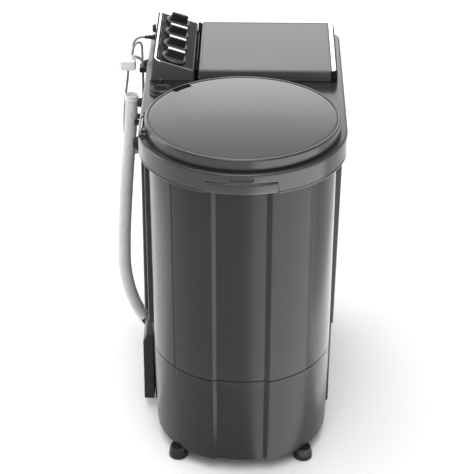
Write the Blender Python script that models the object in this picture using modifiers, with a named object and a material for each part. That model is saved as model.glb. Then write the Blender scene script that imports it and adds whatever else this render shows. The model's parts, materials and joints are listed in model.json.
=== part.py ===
"""Semi-automatic twin-tub washing machine: a round wash tub at the -X end, a spinner at the +X end, and a
control box, drain hose and power cord at the back (+Y). Metres, +Z up, floor at z = 0, origin under the middle."""

import math

import bmesh
import bpy
from mathutils import Matrix, Vector

# ---------------------------------------------------------------- driving dimensions
LENGTH = 0.778  # top cover, end to end along X
WIDTH = 0.457  # top cover, front to back; its -X end is a half circle of this diameter
REAR_REACH = 0.023  # how far the rear fittings stand behind the top cover
GAP = 0.0003  # between pieces that touch
RUN = 0.0012  # between a moving piece and what it moves in

FOOT_H = 0.0287
FOOT_R = 0.022
FOOT_ANGLE = 48.5  # near feet, either side of the length, degrees
FOOT_INSET = 0.005  # near feet's middles inside the base's edge
BASE_Z0 = FOOT_H + GAP
BASE_TOP = 0.2497
BASE_WALL = 0.003
CABINET_Z0 = BASE_TOP + GAP
CABINET_WALL = 0.0025
DECK_TOP = 0.785
DECK_SKIRT = 0.050  # height of the top cover's side band
DECK_WALL = 0.003
DECK_CORNER = 0.045
DECK_ROUND = 0.0025

HALF = WIDTH / 2
CABINET_TOP_R = HALF - 0.0212  # round end of the cabinet, at its top and its foot
CABINET_FOOT_R = HALF - 0.0253
BASE_FOOT_R = HALF - 0.0305
FRONT_TOP = HALF - 0.0042  # front wall from the centre line
FRONT_FOOT = HALF - 0.0143
BASE_SIDE_TOP = HALF - 0.0180  # base's straight walls from the centre line
BASE_SIDE_FOOT = HALF - 0.0215
REAR_TOP = HALF - 0.0060  # rear wall from the centre line
REAR_FOOT = HALF - 0.0085
END_INSET = 0.006  # cabinet's far end inside the top cover's
SHOULDER_X = 0.056  # where the straight walls start, from the wash axis
RECESS_DEEP = 0.007  # upright recess in the round end
RECESS_IN = 15.6  # half angles of its floor and of its edge, degrees
RECESS_OUT = 18.6

TUB_WALL = 0.0028
WASH_TUB_R = CABINET_TOP_R - CABINET_WALL - RECESS_DEEP - 0.0098  # inside, at the top
WASH_TUB_FOOT_R = WASH_TUB_R - 0.012
WASH_TUB_FLOOR = CABINET_Z0 + 0.050
WASH_TUB_CURVE = 0.014
TUB_STEPS = 48
WASH_OPENING_R = WASH_TUB_R - 0.002
PULSATOR_R = WASH_TUB_FOOT_R - 0.026
SHAFT_HOLE_R = 0.0125
PULSATOR_SHAFT = 0.016  # how far it reaches below the tub

LID_GAP = 0.0015  # lids over the top cover
LID_TOP = DECK_TOP + 0.0274
LID_WALL = 0.0025
WASH_LID_R = HALF - 0.0145
WASH_PANEL_R = WASH_LID_R - 0.0068
WASH_HINGE = (HALF - 0.0090, DECK_TOP + 0.0080)  # y from the centre line, z
NOTCH_HALF = 0.0245  # notch in the wash lid's rim, beside the water inlet
NOTCH_ANGLE = 43.5
EAR_WIDE = 0.012
EAR_X = 0.036  # hinge ears and lugs, either side of the wash axis
LUG_X = 0.048
LUG_R = 0.0040
PIN_R = 0.0018

SPIN_LID_X = (0.2433, LENGTH - HALF - 0.0132)  # from the wash axis
SPIN_LID_Y = (0.0134 - HALF, HALF - 0.1235)  # from the centre line
SPIN_X = sum(SPIN_LID_X) / 2
SPIN_Y = sum(SPIN_LID_Y) / 2
SPIN_OPENING_R = 0.525 * HALF
SPIN_TUB_R = SPIN_OPENING_R + 0.0125
SPIN_TUB_FLOOR = 0.345
BELLOWS_HOLE = 0.030
BASKET_R = SPIN_OPENING_R - 0.0025
BASKET_FLOOR = SPIN_TUB_FLOOR + 0.017
BASKET_TOP = 0.705
SHAFT_R = 0.0065
DRUM_R = 0.045
SPIN_MOTOR_R = 0.060
SPIN_MOTOR_Z = (0.072, 0.205)
DRUM_Z = (SPIN_MOTOR_Z[1] + 0.017, SPIN_MOTOR_Z[1] + 0.043)
BRAKE_PLATE_R = SPIN_MOTOR_R + 0.014
BRAKE_PIVOT = (DRUM_R + 0.010, 0.040)  # from the spinner's axis
SPRING_RING = SPIN_MOTOR_R + 0.023  # springs from the spinner's axis
SPRING_R = 0.010
TRIM_DEEP = 0.0145  # bright strip along the spinner lid's front
SPIN_HINGE = (SPIN_LID_Y[1] + 0.0050, LID_TOP - 0.0042)

CONSOLE_END = 0.0150  # from the top cover's far end
CONSOLE_FRONT = (HALF - 0.1128, DECK_TOP + 0.0240)  # y from the centre line, z
CONSOLE_BACK = (HALF - 0.0191, DECK_TOP + 0.0530)
CONSOLE_REAR_FOOT = HALF - 0.0128
CONSOLE_WALL = 0.0025
KNOB_FIRST = SPIN_LID_X[0] + 0.0401  # from the wash axis
KNOB_PITCH = 0.072
KNOB_Y = HALF - 0.0660
KNOB_R = 0.029
KNOB_PLATE = 0.006
KNOB_H = 0.0235
GRIP = (0.013, 0.044)  # width and length of the bar across the knob
SPINDLE_R = 0.0030
SPINDLE_UP = 0.012

HANDLE_HALF = 0.0765
HANDLE_Z = (DECK_TOP - 0.047, DECK_TOP - 0.021)
HANDLE_PROUD = 0.0015
SLOT_HALF = 0.025
SLOT_DEEP = 0.0028  # blind, at the middle of its curve
SLOT_Z = (DECK_TOP - 0.0165, DECK_TOP - 0.0075)

FUNNEL_AT = (0.1920, HALF - 0.0415)
FUNNEL_R = 0.0225

GEARBOX_R = 0.068
PULLEY_R = 0.070
PULLEY_Z = (0.045, 0.058)
MOTOR_AT = (0.150, -0.110)  # from the wash axis
MOTOR_R = 0.052
MOTOR_Z = (0.080, 0.185)
MOTOR_LEGS_TURN = math.radians(20)
MOTOR_PULLEY_R = 0.022
BELT_THICK = 0.004

HOSE_R = 0.015
HOSE_X = 0.200  # from the wash axis
CUFF_LONG = 0.014
OUTLET_R = 0.0115
OUTLET_Z = 0.148
VALVE_AT = (HOSE_X, HALF - 0.0685)
VALVE_R = 0.024
VALVE_Z = (0.135, 0.262)

CORD_D = 0.0055
CORD_X = 0.418
EXIT_Z = DECK_TOP + 0.0345
RELIEF_NECK = 0.0055
RELIEF_LONG = 0.024

# ---------------------------------------------------------------- places that follow from them
CY = -REAR_REACH / 2  # centre line of the top cover
WX = HALF - LENGTH / 2  # wash axis
SX = WX + SPIN_X  # spinner axis
SY = CY + SPIN_Y
SKIRT_Z = DECK_TOP - DECK_SKIRT
PLATE_Z = DECK_TOP - DECK_WALL  # underside of the top cover's plate
LID_Z0 = DECK_TOP + LID_GAP
SLOPE = math.atan2(CONSOLE_BACK[1] - CONSOLE_FRONT[1], CONSOLE_BACK[0] - CONSOLE_FRONT[0])
CONSOLE_X = (WX + SPIN_LID_X[0], LENGTH / 2 - CONSOLE_END)
WASH_EARS = (WX - EAR_X, WX + EAR_X)
WASH_LUGS = [(WX - LUG_X, WASH_HINGE, 0.006), (WX + LUG_X, WASH_HINGE, 0.006)]
SPIN_LUGS = [
    (WX + SPIN_LID_X[0] + 0.0045, SPIN_HINGE, 0.005),
    (WX + SPIN_LID_X[1] - 0.0045, SPIN_HINGE, 0.005),
]
SPIN_SLEEVES = [
    (SPIN_LUGS[0][0] + 0.005, SPIN_LUGS[0][0] + 0.055),
    (SPIN_LUGS[1][0] - 0.055, SPIN_LUGS[1][0] - 0.005),
]

# ---------------------------------------------------------------- rear fittings, cord and hose
# x from the wash axis, y from the top cover's rear edge, z from the floor
SPACERS = [  # x, y of the wall it stands on, z, radius, reach
    (0.490, -0.0135, DECK_TOP + 0.0270, 0.0110, 0.0080),
    (0.372, 0.0, DECK_TOP - 0.0150, 0.0120, 0.0100),
    (0.158, 0.0, DECK_TOP - 0.0160, 0.0120, 0.0120),
    (0.090, 0.0035, DECK_TOP - 0.0850, 0.0170, 0.0150),
]
OUTLET_ROUTE = [
    (HOSE_X, VALVE_AT[1] + VALVE_R + GAP - HALF, OUTLET_Z),
    (HOSE_X, -0.0235, OUTLET_Z),
    (HOSE_X, -0.0075, OUTLET_Z + 0.0030),
    (HOSE_X, 0.0025, OUTLET_Z + 0.0120),
    (HOSE_X, 0.0115, OUTLET_Z + 0.0276),
]
HOSE_ROUTE = [
    (HOSE_X, 0.0118, OUTLET_Z + 0.0281),
    (HOSE_X, 0.0225, OUTLET_Z + 0.0466),
    (HOSE_X, 0.0355, 0.2250),
    (HOSE_X, 0.0470, 0.2660),
    (HOSE_X, 0.0545, 0.3200),
    (HOSE_X, 0.0540, 0.3900),
    (HOSE_X, 0.0505, 0.4600),
    (HOSE_X, 0.0455, 0.5300),
    (HOSE_X, 0.0400, 0.6000),
    (HOSE_X, 0.0345, 0.6600),
    (HOSE_X, 0.0305, 0.7100),
    (HOSE_X, 0.0280, 0.7560),
]
HANK_X = (0.4035, 0.4265)
HANK_ROUTE = [  # y and z of the loop's middle line, once round
    (0.0275, 0.7700),
    (0.0345, 0.7560),
    (0.0405, 0.7200),
    (0.0505, 0.6800),
    (0.0605, 0.6400),
    (0.0645, 0.6000),
    (0.0615, 0.5560),
    (0.0505, 0.5240),
    (0.0355, 0.5150),
    (0.0225, 0.5260),
    (0.0165, 0.5560),
    (0.0155, 0.6000),
    (0.0170, 0.6500),
    (0.0190, 0.7000),
    (0.0205, 0.7560),
    (0.0275, 0.7700),
]
CORD_ROUTE = [
    (CORD_X, CONSOLE_BACK[0] + 0.0045 + RELIEF_LONG + GAP - HALF, EXIT_Z),
    (CORD_X, 0.0155, EXIT_Z + 0.0002),
    (CORD_X, 0.0245, 0.8160),
    (CORD_X + 0.001, 0.0312, 0.8060),
    (CORD_X + 0.0035, 0.0325, 0.7930),
    (CORD_X + 0.0050, 0.0305, 0.7820),
    (CORD_X + 0.0052, 0.0280, 0.7731),
]
PLUG_PIN = 0.012
PLUG_AT = (0.368, 0.0475, 0.7720)
TAIL_ROUTE = [
    (0.4068, 0.0275, 0.7731),
    (0.4072, 0.0290, 0.7870),
    (0.405, 0.0310, 0.8030),
    (0.397, 0.0330, 0.8150),
    (0.386, 0.0345, 0.8180),
    (0.375, 0.0360, 0.8130),
    (0.369, 0.0365, 0.8040),
    (0.368, 0.0365, 0.7964),
]

for old in list(bpy.data.objects):
    bpy.data.objects.remove(old, do_unlink=True)

PARTS = bpy.data.collections.new("twin_tub_washer")
CUTTERS = bpy.data.collections.new("cutters")
for made in (PARTS, CUTTERS):
    bpy.context.scene.collection.children.link(made)


# ---------------------------------------------------------------- materials
def material(name, colour, roughness, metallic=0.0):
    made = bpy.data.materials.new(name)
    made.use_nodes = True
    shader = made.node_tree.nodes["Principled BSDF"]
    shader.inputs["Base Color"].default_value = (*colour, 1.0)
    shader.inputs["Roughness"].default_value = roughness
    shader.inputs["Metallic"].default_value = metallic
    made.diffuse_color = (*colour, 1.0)
    return made


BODY_GREY = material("body_grey", (0.045, 0.045, 0.047), 0.35)
DECK_GREY = material("deck_grey", (0.055, 0.055, 0.058), 0.30)
GLOSS_BLACK = material("gloss_black", (0.020, 0.020, 0.022), 0.08)
BLACK = material("black_plastic", (0.012, 0.012, 0.012), 0.45)
SILVER = material("silver_trim", (0.75, 0.75, 0.76), 0.25, 0.9)
WHITE = material("tub_white", (0.80, 0.81, 0.82), 0.30)
STEEL = material("steel", (0.45, 0.45, 0.46), 0.35, 1.0)
CAST = material("motor_casing", (0.25, 0.26, 0.27), 0.50, 0.8)
RUBBER = material("rubber", (0.015, 0.015, 0.015), 0.85)
HOSE_GREY = material("hose_grey", (0.42, 0.42, 0.42), 0.50)
CORD_GREY = material("cord_grey", (0.20, 0.20, 0.20), 0.55)
PLUG_WHITE = material("plug_white", (0.62, 0.62, 0.62), 0.40)


# ---------------------------------------------------------------- modelling helpers
def dress(piece, finish):
    piece.data.materials.clear()
    piece.data.materials.append(finish)
    return piece


def place(name, mesh, finish=None, at=(0, 0, 0), turn=(0, 0, 0)):
    """A named piece, or a cutter where it has no finish."""
    piece = bpy.data.objects.new(name, mesh)
    piece.location = at
    piece.rotation_euler = turn
    if finish is None:
        CUTTERS.objects.link(piece)
        piece.hide_render = True
        piece.display_type = "WIRE"
        return piece
    PARTS.objects.link(piece)
    return dress(piece, finish)


def mesh_of(name, shape, smooth=True):
    bmesh.ops.recalc_face_normals(shape, faces=shape.faces)
    mesh = bpy.data.meshes.new(name)
    shape.to_mesh(mesh)
    shape.free()
    if smooth:
        mesh.shade_smooth()
        mesh.set_sharp_from_angle(angle=math.radians(32))
    return mesh


def box(name, low, high, finish=None, at=(0, 0, 0), turn=(0, 0, 0)):
    shape = bmesh.new()
    bmesh.ops.create_cube(shape, size=1.0)
    size = [b - a for a, b in zip(low, high)]
    middle = [(a + b) / 2 for a, b in zip(low, high)]
    bmesh.ops.scale(shape, vec=size, verts=shape.verts)
    bmesh.ops.translate(shape, vec=middle, verts=shape.verts)
    return place(name, mesh_of(name, shape, False), finish, at, turn)


def rod(name, start, end, radius, finish=None, sides=24, radius_end=None):
    """A cylinder or a cone between two points."""
    start, end = Vector(start), Vector(end)
    along = end - start
    shape = bmesh.new()
    bmesh.ops.create_cone(
        shape,
        cap_ends=True,
        segments=sides,
        radius1=radius,
        radius2=radius if radius_end is None else radius_end,
        depth=along.length,
    )
    turn = Vector((0, 0, 1)).rotation_difference(along)
    bmesh.ops.rotate(shape, cent=(0, 0, 0), matrix=turn.to_matrix(), verts=shape.verts)
    bmesh.ops.translate(shape, vec=(start + end) / 2, verts=shape.verts)
    return place(name, mesh_of(name, shape), finish)


def turned(name, profile, finish=None, at=(0, 0, 0), steps=48, ring=False, turn=(0, 0, 0)):
    """A profile of (radius, height) points turned about Z. A ring's profile closes on itself."""
    mesh = bpy.data.meshes.new(name)
    edges = [(i, i + 1) for i in range(len(profile) - 1)]
    if ring:
        edges.append((len(profile) - 1, 0))
    mesh.from_pydata([(r, 0, z) for r, z in profile], edges, [])
    piece = place(name, mesh, finish, at, turn)
    screw = piece.modifiers.new("turn", "SCREW")
    screw.steps = steps
    screw.render_steps = steps
    screw.use_merge_vertices = True
    screw.merge_threshold = 0.00001
    screw.use_smooth_shade = True
    return piece


def arc(middle, radius, start, end, count):
    """Points on an arc, angles in degrees, both ends included."""
    angles = [math.radians(start + (end - start) * i / (count - 1)) for i in range(count)]
    return [(middle[0] + radius * math.cos(a), middle[1] + radius * math.sin(a)) for a in angles]


def loft(name, sections, finish=None, bottom=True, top=True, at=(0, 0, 0)):
    """Walls through outlines with the same number of points, each at its own height."""
    shape = bmesh.new()
    rings = [[shape.verts.new((x, y, z)) for x, y in outline] for z, outline in sections]
    for low, high in zip(rings, rings[1:]):
        for i in range(len(low)):
            j = (i + 1) % len(low)
            shape.faces.new((low[i], low[j], high[j], high[i]))
    if bottom:
        shape.faces.new(rings[0][::-1])
    if top:
        shape.faces.new(rings[-1])
    mesh = bpy.data.meshes.new(name)
    shape.to_mesh(mesh)
    shape.free()
    mesh.shade_smooth()
    mesh.set_sharp_from_angle(angle=math.radians(32))
    return place(name, mesh, finish, at)


def plate(name, outline, z0, z1, finish=None, at=(0, 0, 0), turn=(0, 0, 0)):
    """A flat outline raised from one height to another."""
    piece = loft(name, [(z0, outline), (z1, outline)], finish, at=at)
    piece.rotation_euler = turn
    return piece


def shell(piece, wall):
    """Gives an open surface that faces outwards a wall on its inner side."""
    skin = piece.modifiers.new("wall", "SOLIDIFY")
    skin.thickness = wall
    skin.offset = -1
    skin.use_even_offset = True
    return piece


def boolean(piece, other, operation="DIFFERENCE"):
    step = piece.modifiers.new(other.name, "BOOLEAN")
    step.operation = operation
    step.solver = "EXACT"
    step.object = other
    return piece


def smooth_line(points, step):
    """Points about a step apart on a smooth curve through the given points."""
    line = [Vector(p) for p in points]
    ends = [2 * line[0] - line[1], *line, 2 * line[-1] - line[-2]]
    found = []
    for i in range(1, len(ends) - 2):
        before, here, there, after = ends[i - 1 : i + 3]
        count = max(1, round((there - here).length / step))
        for k in range(count):
            t = k / count
            found.append(
                0.5
                * (
                    2 * here
                    + (there - before) * t
                    + (2 * before - 5 * here + 4 * there - after) * t**2
                    + (3 * here - before - 3 * there + after) * t**3
                )
            )
    return [*found, line[-1]]


def tube(name, points, radius, finish, sides_level=2):
    curve = bpy.data.curves.new(name, "CURVE")
    curve.dimensions = "3D"
    spline = curve.splines.new("POLY")
    spline.points.add(len(points) - 1)
    for slot, point in zip(spline.points, points):
        slot.co = (*point, 1)
    curve.bevel_depth = radius
    curve.bevel_resolution = sides_level
    curve.use_fill_caps = True
    piece = bpy.data.objects.new(name, curve)
    PARTS.objects.link(piece)
    return dress(piece, finish)


def pivot(name, at, *pieces):
    """An empty on a joint's axis that carries the pieces that move on it."""
    empty = bpy.data.objects.new(name, None)
    empty.location = at
    PARTS.objects.link(empty)
    for piece in pieces:
        piece.parent = empty
        piece.matrix_parent_inverse = Matrix.Translation(-Vector(at))
    return empty


def seen_from_top(dx, dy):
    """A point given from the wash axis and the centre line."""
    return (WX + dx, CY + dy)


# ---------------------------------------------------------------- outlines
def deck_outline(inset):
    half = HALF
    far = LENGTH / 2 - DECK_CORNER
    corner = DECK_CORNER - inset
    return [
        *arc((WX, CY), half - inset, 90, 270, 37),
        *arc((far, CY - half + DECK_CORNER), corner, 270, 360, 6),
        *arc((far, CY + half - DECK_CORNER), corner, 0, 90, 6),
    ]


def body_outline(radius, front, rear, inset):
    """Round end with its recess, a shoulder on each side, straight walls and a square far end."""
    far = LENGTH / 2 - END_INSET - inset
    corner = DECK_CORNER - END_INSET
    step = 0.004
    lean = math.degrees(math.acos(SHOULDER_X / radius))
    return [
        seen_from_top(SHOULDER_X + step, rear),
        seen_from_top(SHOULDER_X, rear - step),
        *arc((WX, CY), radius, lean, 180 - RECESS_OUT, 13),
        *arc((WX, CY), radius - RECESS_DEEP, 180 - RECESS_IN, 180 + RECESS_IN, 6),
        *arc((WX, CY), radius, 180 + RECESS_OUT, 360 - lean, 13),
        seen_from_top(SHOULDER_X, -front + step),
        seen_from_top(SHOULDER_X + step, -front),
        *arc((far - corner, CY - front + corner), corner, 270, 360, 6),
        *arc((far - corner, CY + rear - corner), corner, 0, 90, 6),
    ]


def rounded_rectangle(x0, x1, y0, y1, front_corner, back_corner, count=5):
    return [
        *arc((x0 + back_corner, y1 - back_corner), back_corner, 90, 180, count),
        *arc((x0 + front_corner, y0 + front_corner), front_corner, 180, 270, count),
        *arc((x1 - front_corner, y0 + front_corner), front_corner, 270, 360, count),
        *arc((x1 - back_corner, y1 - back_corner), back_corner, 0, 90, count),
    ]


# ---------------------------------------------------------------- base, feet, cabinet
def make_base():
    tray = loft(
        "base",
        [
            (BASE_Z0, body_outline(BASE_FOOT_R, BASE_SIDE_FOOT, BASE_SIDE_FOOT, 0.006)),
            (BASE_TOP, body_outline(CABINET_FOOT_R, BASE_SIDE_TOP, BASE_SIDE_TOP, 0.003)),
        ],
        BODY_GREY,
        top=False,
    )
    shell(tray, BASE_WALL)
    start, outer = (Vector((*seen_from_top(HOSE_X, dy), OUTLET_Z)) for dy in (0, WIDTH))
    boolean(tray, rod("base_outlet_cut", start, outer, OUTLET_R + 2 * RUN))


def make_feet():
    lean = math.radians(FOOT_ANGLE)
    near_x = -(BASE_FOOT_R - FOOT_INSET) * math.cos(lean)
    near_y = (BASE_FOOT_R - FOOT_INSET) * math.sin(lean)
    far_x = LENGTH - HALF - DECK_CORNER - 0.010
    far_y = BASE_SIDE_FOOT - 2 * FOOT_R - 0.003
    spots = [(near_x, near_y), (near_x, -near_y), (far_x, far_y), (far_x, -far_y)]
    for number, (dx, dy) in enumerate(spots, 1):
        profile = [
            (0, FOOT_H),
            (FOOT_R * 0.8, FOOT_H),
            (FOOT_R, 0.004),
            (FOOT_R - 0.002, 0),
            (0, 0),
        ]
        turned(f"foot_{number}", profile, RUBBER, (*seen_from_top(dx, dy), 0), 24)


def make_cabinet():
    walls = loft(
        "cabinet",
        [
            (CABINET_Z0, body_outline(CABINET_FOOT_R, FRONT_FOOT, REAR_FOOT, 0.003)),
            (PLATE_Z - GAP, body_outline(CABINET_TOP_R, FRONT_TOP, REAR_TOP, 0)),
        ],
        BODY_GREY,
        bottom=False,
        top=False,
    )
    shell(walls, CABINET_WALL)


def pan(name, profile, hollow, x0, x1, wall, finish):
    """A pressing along X with the given outline in Y and Z, hollow towards the cabinet."""
    turn = (math.pi / 2, 0, math.pi / 2)
    body = plate(name, profile, x0, x1, finish, turn=turn)
    boolean(body, plate(name + "_hollow", hollow, x0 + wall, x1 - wall, turn=turn))
    return body


def make_rear_panel():
    wall = 0.0022
    x0 = WX + SHOULDER_X + 0.018
    x1 = LENGTH / 2 - DECK_CORNER
    low, high = CABINET_Z0 + 0.012, SKIRT_Z - 0.007
    inner, outer = CY + REAR_TOP + 0.0004, CY + REAR_TOP + 0.0095
    bevel = 0.006
    profile = [
        (inner, low),
        (outer - bevel / 2, low),
        (outer, low + bevel),
        (outer, high - bevel),
        (outer - bevel / 2, high),
        (inner, high),
    ]
    hollow = [
        (inner - wall, low + wall),
        (outer - wall, low + wall + bevel),
        (outer - wall, high - wall - bevel),
        (inner - wall, high - wall),
    ]
    pan("rear_panel", profile, hollow, x0, x1, wall, BODY_GREY)


def make_rear_cover():
    wall = 0.0025
    x0 = WX + SHOULDER_X + 0.004
    x1 = LENGTH / 2 - DECK_CORNER
    low, high = BASE_Z0, BASE_TOP - 0.0427
    inner, outer = CY + BASE_SIDE_TOP + GAP, CY + HALF + 0.006
    chamfer = 0.015
    profile = [
        (inner, low),
        (outer, low),
        (outer, high - chamfer),
        (outer - chamfer / 2, high),
        (inner, high),
    ]
    hollow = [
        (inner - wall, low + wall),
        (outer - wall, low + wall),
        (outer - wall, high - chamfer - wall),
        (outer - chamfer / 2 - wall, high - wall),
        (inner - wall, high - wall),
    ]
    cover = pan("rear_cover", profile, hollow, x0, x1, wall, BLACK)
    before, end = (Vector(p) for p in to_row(OUTLET_ROUTE[-2:]))
    away = 2 * (end - before)
    boolean(cover, rod("cover_outlet_cut", end - away, end + away, HOSE_R + 2 * RUN))


# ---------------------------------------------------------------- top cover and handle
def make_top_cover():
    cover = loft(
        "top_cover",
        [
            (SKIRT_Z, deck_outline(0)),
            (DECK_TOP - DECK_ROUND, deck_outline(0)),
            (DECK_TOP, deck_outline(DECK_ROUND)),
        ],
        DECK_GREY,
        bottom=False,
    )
    shell(cover, DECK_WALL)
    tall = 0.05
    below, above = DECK_TOP - tall, DECK_TOP + tall
    wash = seen_from_top(0, 0)
    boolean(cover, rod("wash_opening", (*wash, below), (*wash, above), WASH_OPENING_R, sides=64))
    boolean(cover, rod("spin_opening", (SX, SY, below), (SX, SY, above), SPIN_OPENING_R, sides=48))
    funnel = seen_from_top(*FUNNEL_AT)
    boolean(cover, rod("funnel_hole", (*funnel, below), (*funnel, above), FUNNEL_R - 0.003))
    edge = WX - HALF
    half = HANDLE_HALF + GAP
    boolean(
        cover,
        box(
            "handle_cut",
            (edge - 0.01, CY - half, SKIRT_Z - 0.01),
            (edge + 0.04, CY + half, HANDLE_Z[1] + GAP),
        ),
    )
    boolean(
        cover,
        box(
            "grip_slot_cut",
            (edge - 0.01, CY - SLOT_HALF, SLOT_Z[0]),
            (edge + SLOT_DEEP, CY + SLOT_HALF, SLOT_Z[1]),
        ),
    )
    for number, (x, hinge, wide) in enumerate(WASH_LUGS + SPIN_LUGS):
        hinge_lug(cover, number, x, hinge, wide)
    for name, hinge, x0, x1 in (
        ("wash_pin_hole", WASH_HINGE, WX - 0.06, WX + 0.06),
        ("spin_pin_hole", SPIN_HINGE, WX + SPIN_LID_X[0] - 0.01, WX + SPIN_LID_X[1] + 0.02),
    ):
        y, z = CY + hinge[0], hinge[1]
        boolean(cover, rod(name, (x0, y, z), (x1, y, z), PIN_R + GAP, sides=12))


def hinge_lug(cover, number, x, hinge, wide):
    """An upright ear on the top cover that holds the end of a hinge pin, round at its top."""
    y, z = CY + hinge[0], hinge[1]
    low = (x - wide / 2, y - LUG_R, DECK_TOP - DECK_WALL / 2)
    high = (x + wide / 2, y + LUG_R, z)
    boolean(cover, box(f"lug_{number}", low, high), "UNION")
    boolean(cover, rod(f"lug_top_{number}", (low[0], y, z), (high[0], y, z), LUG_R), "UNION")


def make_handle():
    """The bar that bridges the recess in the round end; the hand goes in from below."""
    outer = HALF + HANDLE_PROUD
    lean = math.degrees(math.asin(HANDLE_HALF / outer))
    inner = HALF - 0.0055
    outline = [
        *arc((WX, CY), outer, 180 - lean, 180 + lean, 9),
        *arc((WX, CY), inner, 180 + lean, 180 - lean, 9),
    ]
    low, high = HANDLE_Z
    top = [
        *arc((WX, CY), outer - 0.0015, 180 - lean, 180 + lean, 9),
        *arc((WX, CY), inner, 180 + lean, 180 - lean, 9),
    ]
    loft("carry_handle", [(low, outline), (high - 0.002, outline), (high, top)], DECK_GREY)


# ---------------------------------------------------------------- wash side
def make_wash_tub():
    wall = TUB_WALL
    top = PLATE_Z - GAP
    profile = [
        (SHAFT_HOLE_R, WASH_TUB_FLOOR),
        (WASH_TUB_FOOT_R - 0.012, WASH_TUB_FLOOR),
        (WASH_TUB_FOOT_R, WASH_TUB_FLOOR + WASH_TUB_CURVE),
        (WASH_TUB_R, top),
        (WASH_TUB_R + 0.008, top),
        (WASH_TUB_R + 0.008, top - 0.004),
        (WASH_TUB_R + wall, top - 0.004),
        (WASH_TUB_FOOT_R + wall, WASH_TUB_FLOOR + 0.012),
        (WASH_TUB_FOOT_R - 0.011, WASH_TUB_FLOOR - wall),
        (SHAFT_HOLE_R, WASH_TUB_FLOOR - wall),
    ]
    turned("wash_tub", profile, WHITE, (WX, CY, 0), TUB_STEPS, ring=True)


def make_pulsator():
    z = WASH_TUB_FLOOR + 0.003
    low = WASH_TUB_FLOOR - TUB_WALL - PULSATOR_SHAFT
    profile = [
        (0, z + 0.040),
        (0.022, z + 0.038),
        (0.040, z + 0.020),
        (PULSATOR_R - 0.02, z + 0.006),
        (PULSATOR_R, z + 0.008),
        (PULSATOR_R, z + 0.002),
        (PULSATOR_R - 0.02, z),
        (SHAFT_HOLE_R - 0.003, z),
        (SHAFT_HOLE_R - 0.003, low),
        (0, low),
    ]
    disc = turned("pulsator", profile, WHITE, (WX, CY, 0), 40)
    fins = 4
    for i in range(fins):
        fin = box(
            f"pulsator_fin_{i}",
            (0.018, -0.006, z + 0.003),
            (PULSATOR_R - 0.012, 0.006, z + 0.026),
            at=(WX, CY, 0),
            turn=(0, 0, 2 * math.pi * (i + 0.5) / fins),
        )
        boolean(disc, fin, "UNION")


def make_gearbox():
    top = WASH_TUB_FLOOR - TUB_WALL - GAP
    low = 0.100
    bore = SHAFT_HOLE_R - 0.003 + RUN / 2
    deep = top - PULSATOR_SHAFT - RUN
    profile = [
        (0, deep),
        (bore, deep),
        (bore, top),
        (0.032, top),
        (0.032, top - 0.030),
        (GEARBOX_R, top - 0.045),
        (GEARBOX_R, low + 0.02),
        (0.030, low),
        (0, low),
    ]
    turned("gearbox", profile, CAST, (WX, CY, 0), 32)


def grooved_wheel(name, at, radius, shaft_r, shaft_top, finish):
    """A pulley with a vee groove for the belt and its shaft above it."""
    low, high = PULLEY_Z
    flange = 0.003
    groove = 0.004
    profile = [
        (0, shaft_top),
        (shaft_r, shaft_top),
        (shaft_r, high + 0.004),
        (shaft_r + 0.006, high),
        (radius + flange, high),
        (radius + flange, high - 0.002),
        (radius - GAP, high - 0.002 - groove / 4),
        (radius - GAP, low + 0.002 + groove / 4),
        (radius + flange, low + 0.002),
        (radius + flange, low),
        (0, low),
    ]
    return turned(name, profile, finish, (*at, 0), 32)


def make_drive():
    wash = (WX, CY)
    motor = seen_from_top(*MOTOR_AT)
    grooved_wheel("wash_pulley", wash, PULLEY_R, 0.008, 0.100 - GAP, STEEL)
    grooved_wheel("motor_pulley", motor, MOTOR_PULLEY_R, 0.005, MOTOR_Z[0] - GAP, STEEL)
    low, high = MOTOR_Z
    profile = [
        (0, high),
        (MOTOR_R - 0.012, high),
        (MOTOR_R, high - 0.012),
        (MOTOR_R, low + 0.010),
        (MOTOR_R - 0.014, low),
        (0, low),
    ]
    casing = turned("wash_motor", profile, CAST, (*motor, 0), 32)
    floor = BASE_Z0 + BASE_WALL + GAP
    legs = 3
    for i in range(legs):
        angle = 2 * math.pi * i / legs + MOTOR_LEGS_TURN
        x = motor[0] + (MOTOR_R - 0.008) * math.cos(angle)
        y = motor[1] + (MOTOR_R - 0.008) * math.sin(angle)
        leg = rod(f"motor_leg_{i}", (x, y, floor), (x, y, low + 0.025), 0.005, sides=12)
        boolean(casing, leg, "UNION")
    make_belt(wash, motor)


def make_belt(wash, motor):
    """The loop round both pulleys: two arcs and the straight runs between them."""
    between = Vector(motor) - Vector(wash)
    heading = math.degrees(math.atan2(between.y, between.x))
    lean = math.degrees(math.acos((PULLEY_R - MOTOR_PULLEY_R) / between.length))

    def loop(extra):
        return [
            *arc(wash, PULLEY_R + extra, heading + lean, heading + 360 - lean, 29),
            *arc(motor, MOTOR_PULLEY_R + extra, heading - lean, heading + lean, 13),
        ]

    low, high = PULLEY_Z[0] + 0.0035, PULLEY_Z[1] - 0.0035
    belt = plate("drive_belt", loop(GAP + BELT_THICK), low, high, RUBBER)
    boolean(belt, plate("belt_inside", loop(GAP), low - 0.01, high + 0.01))


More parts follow.
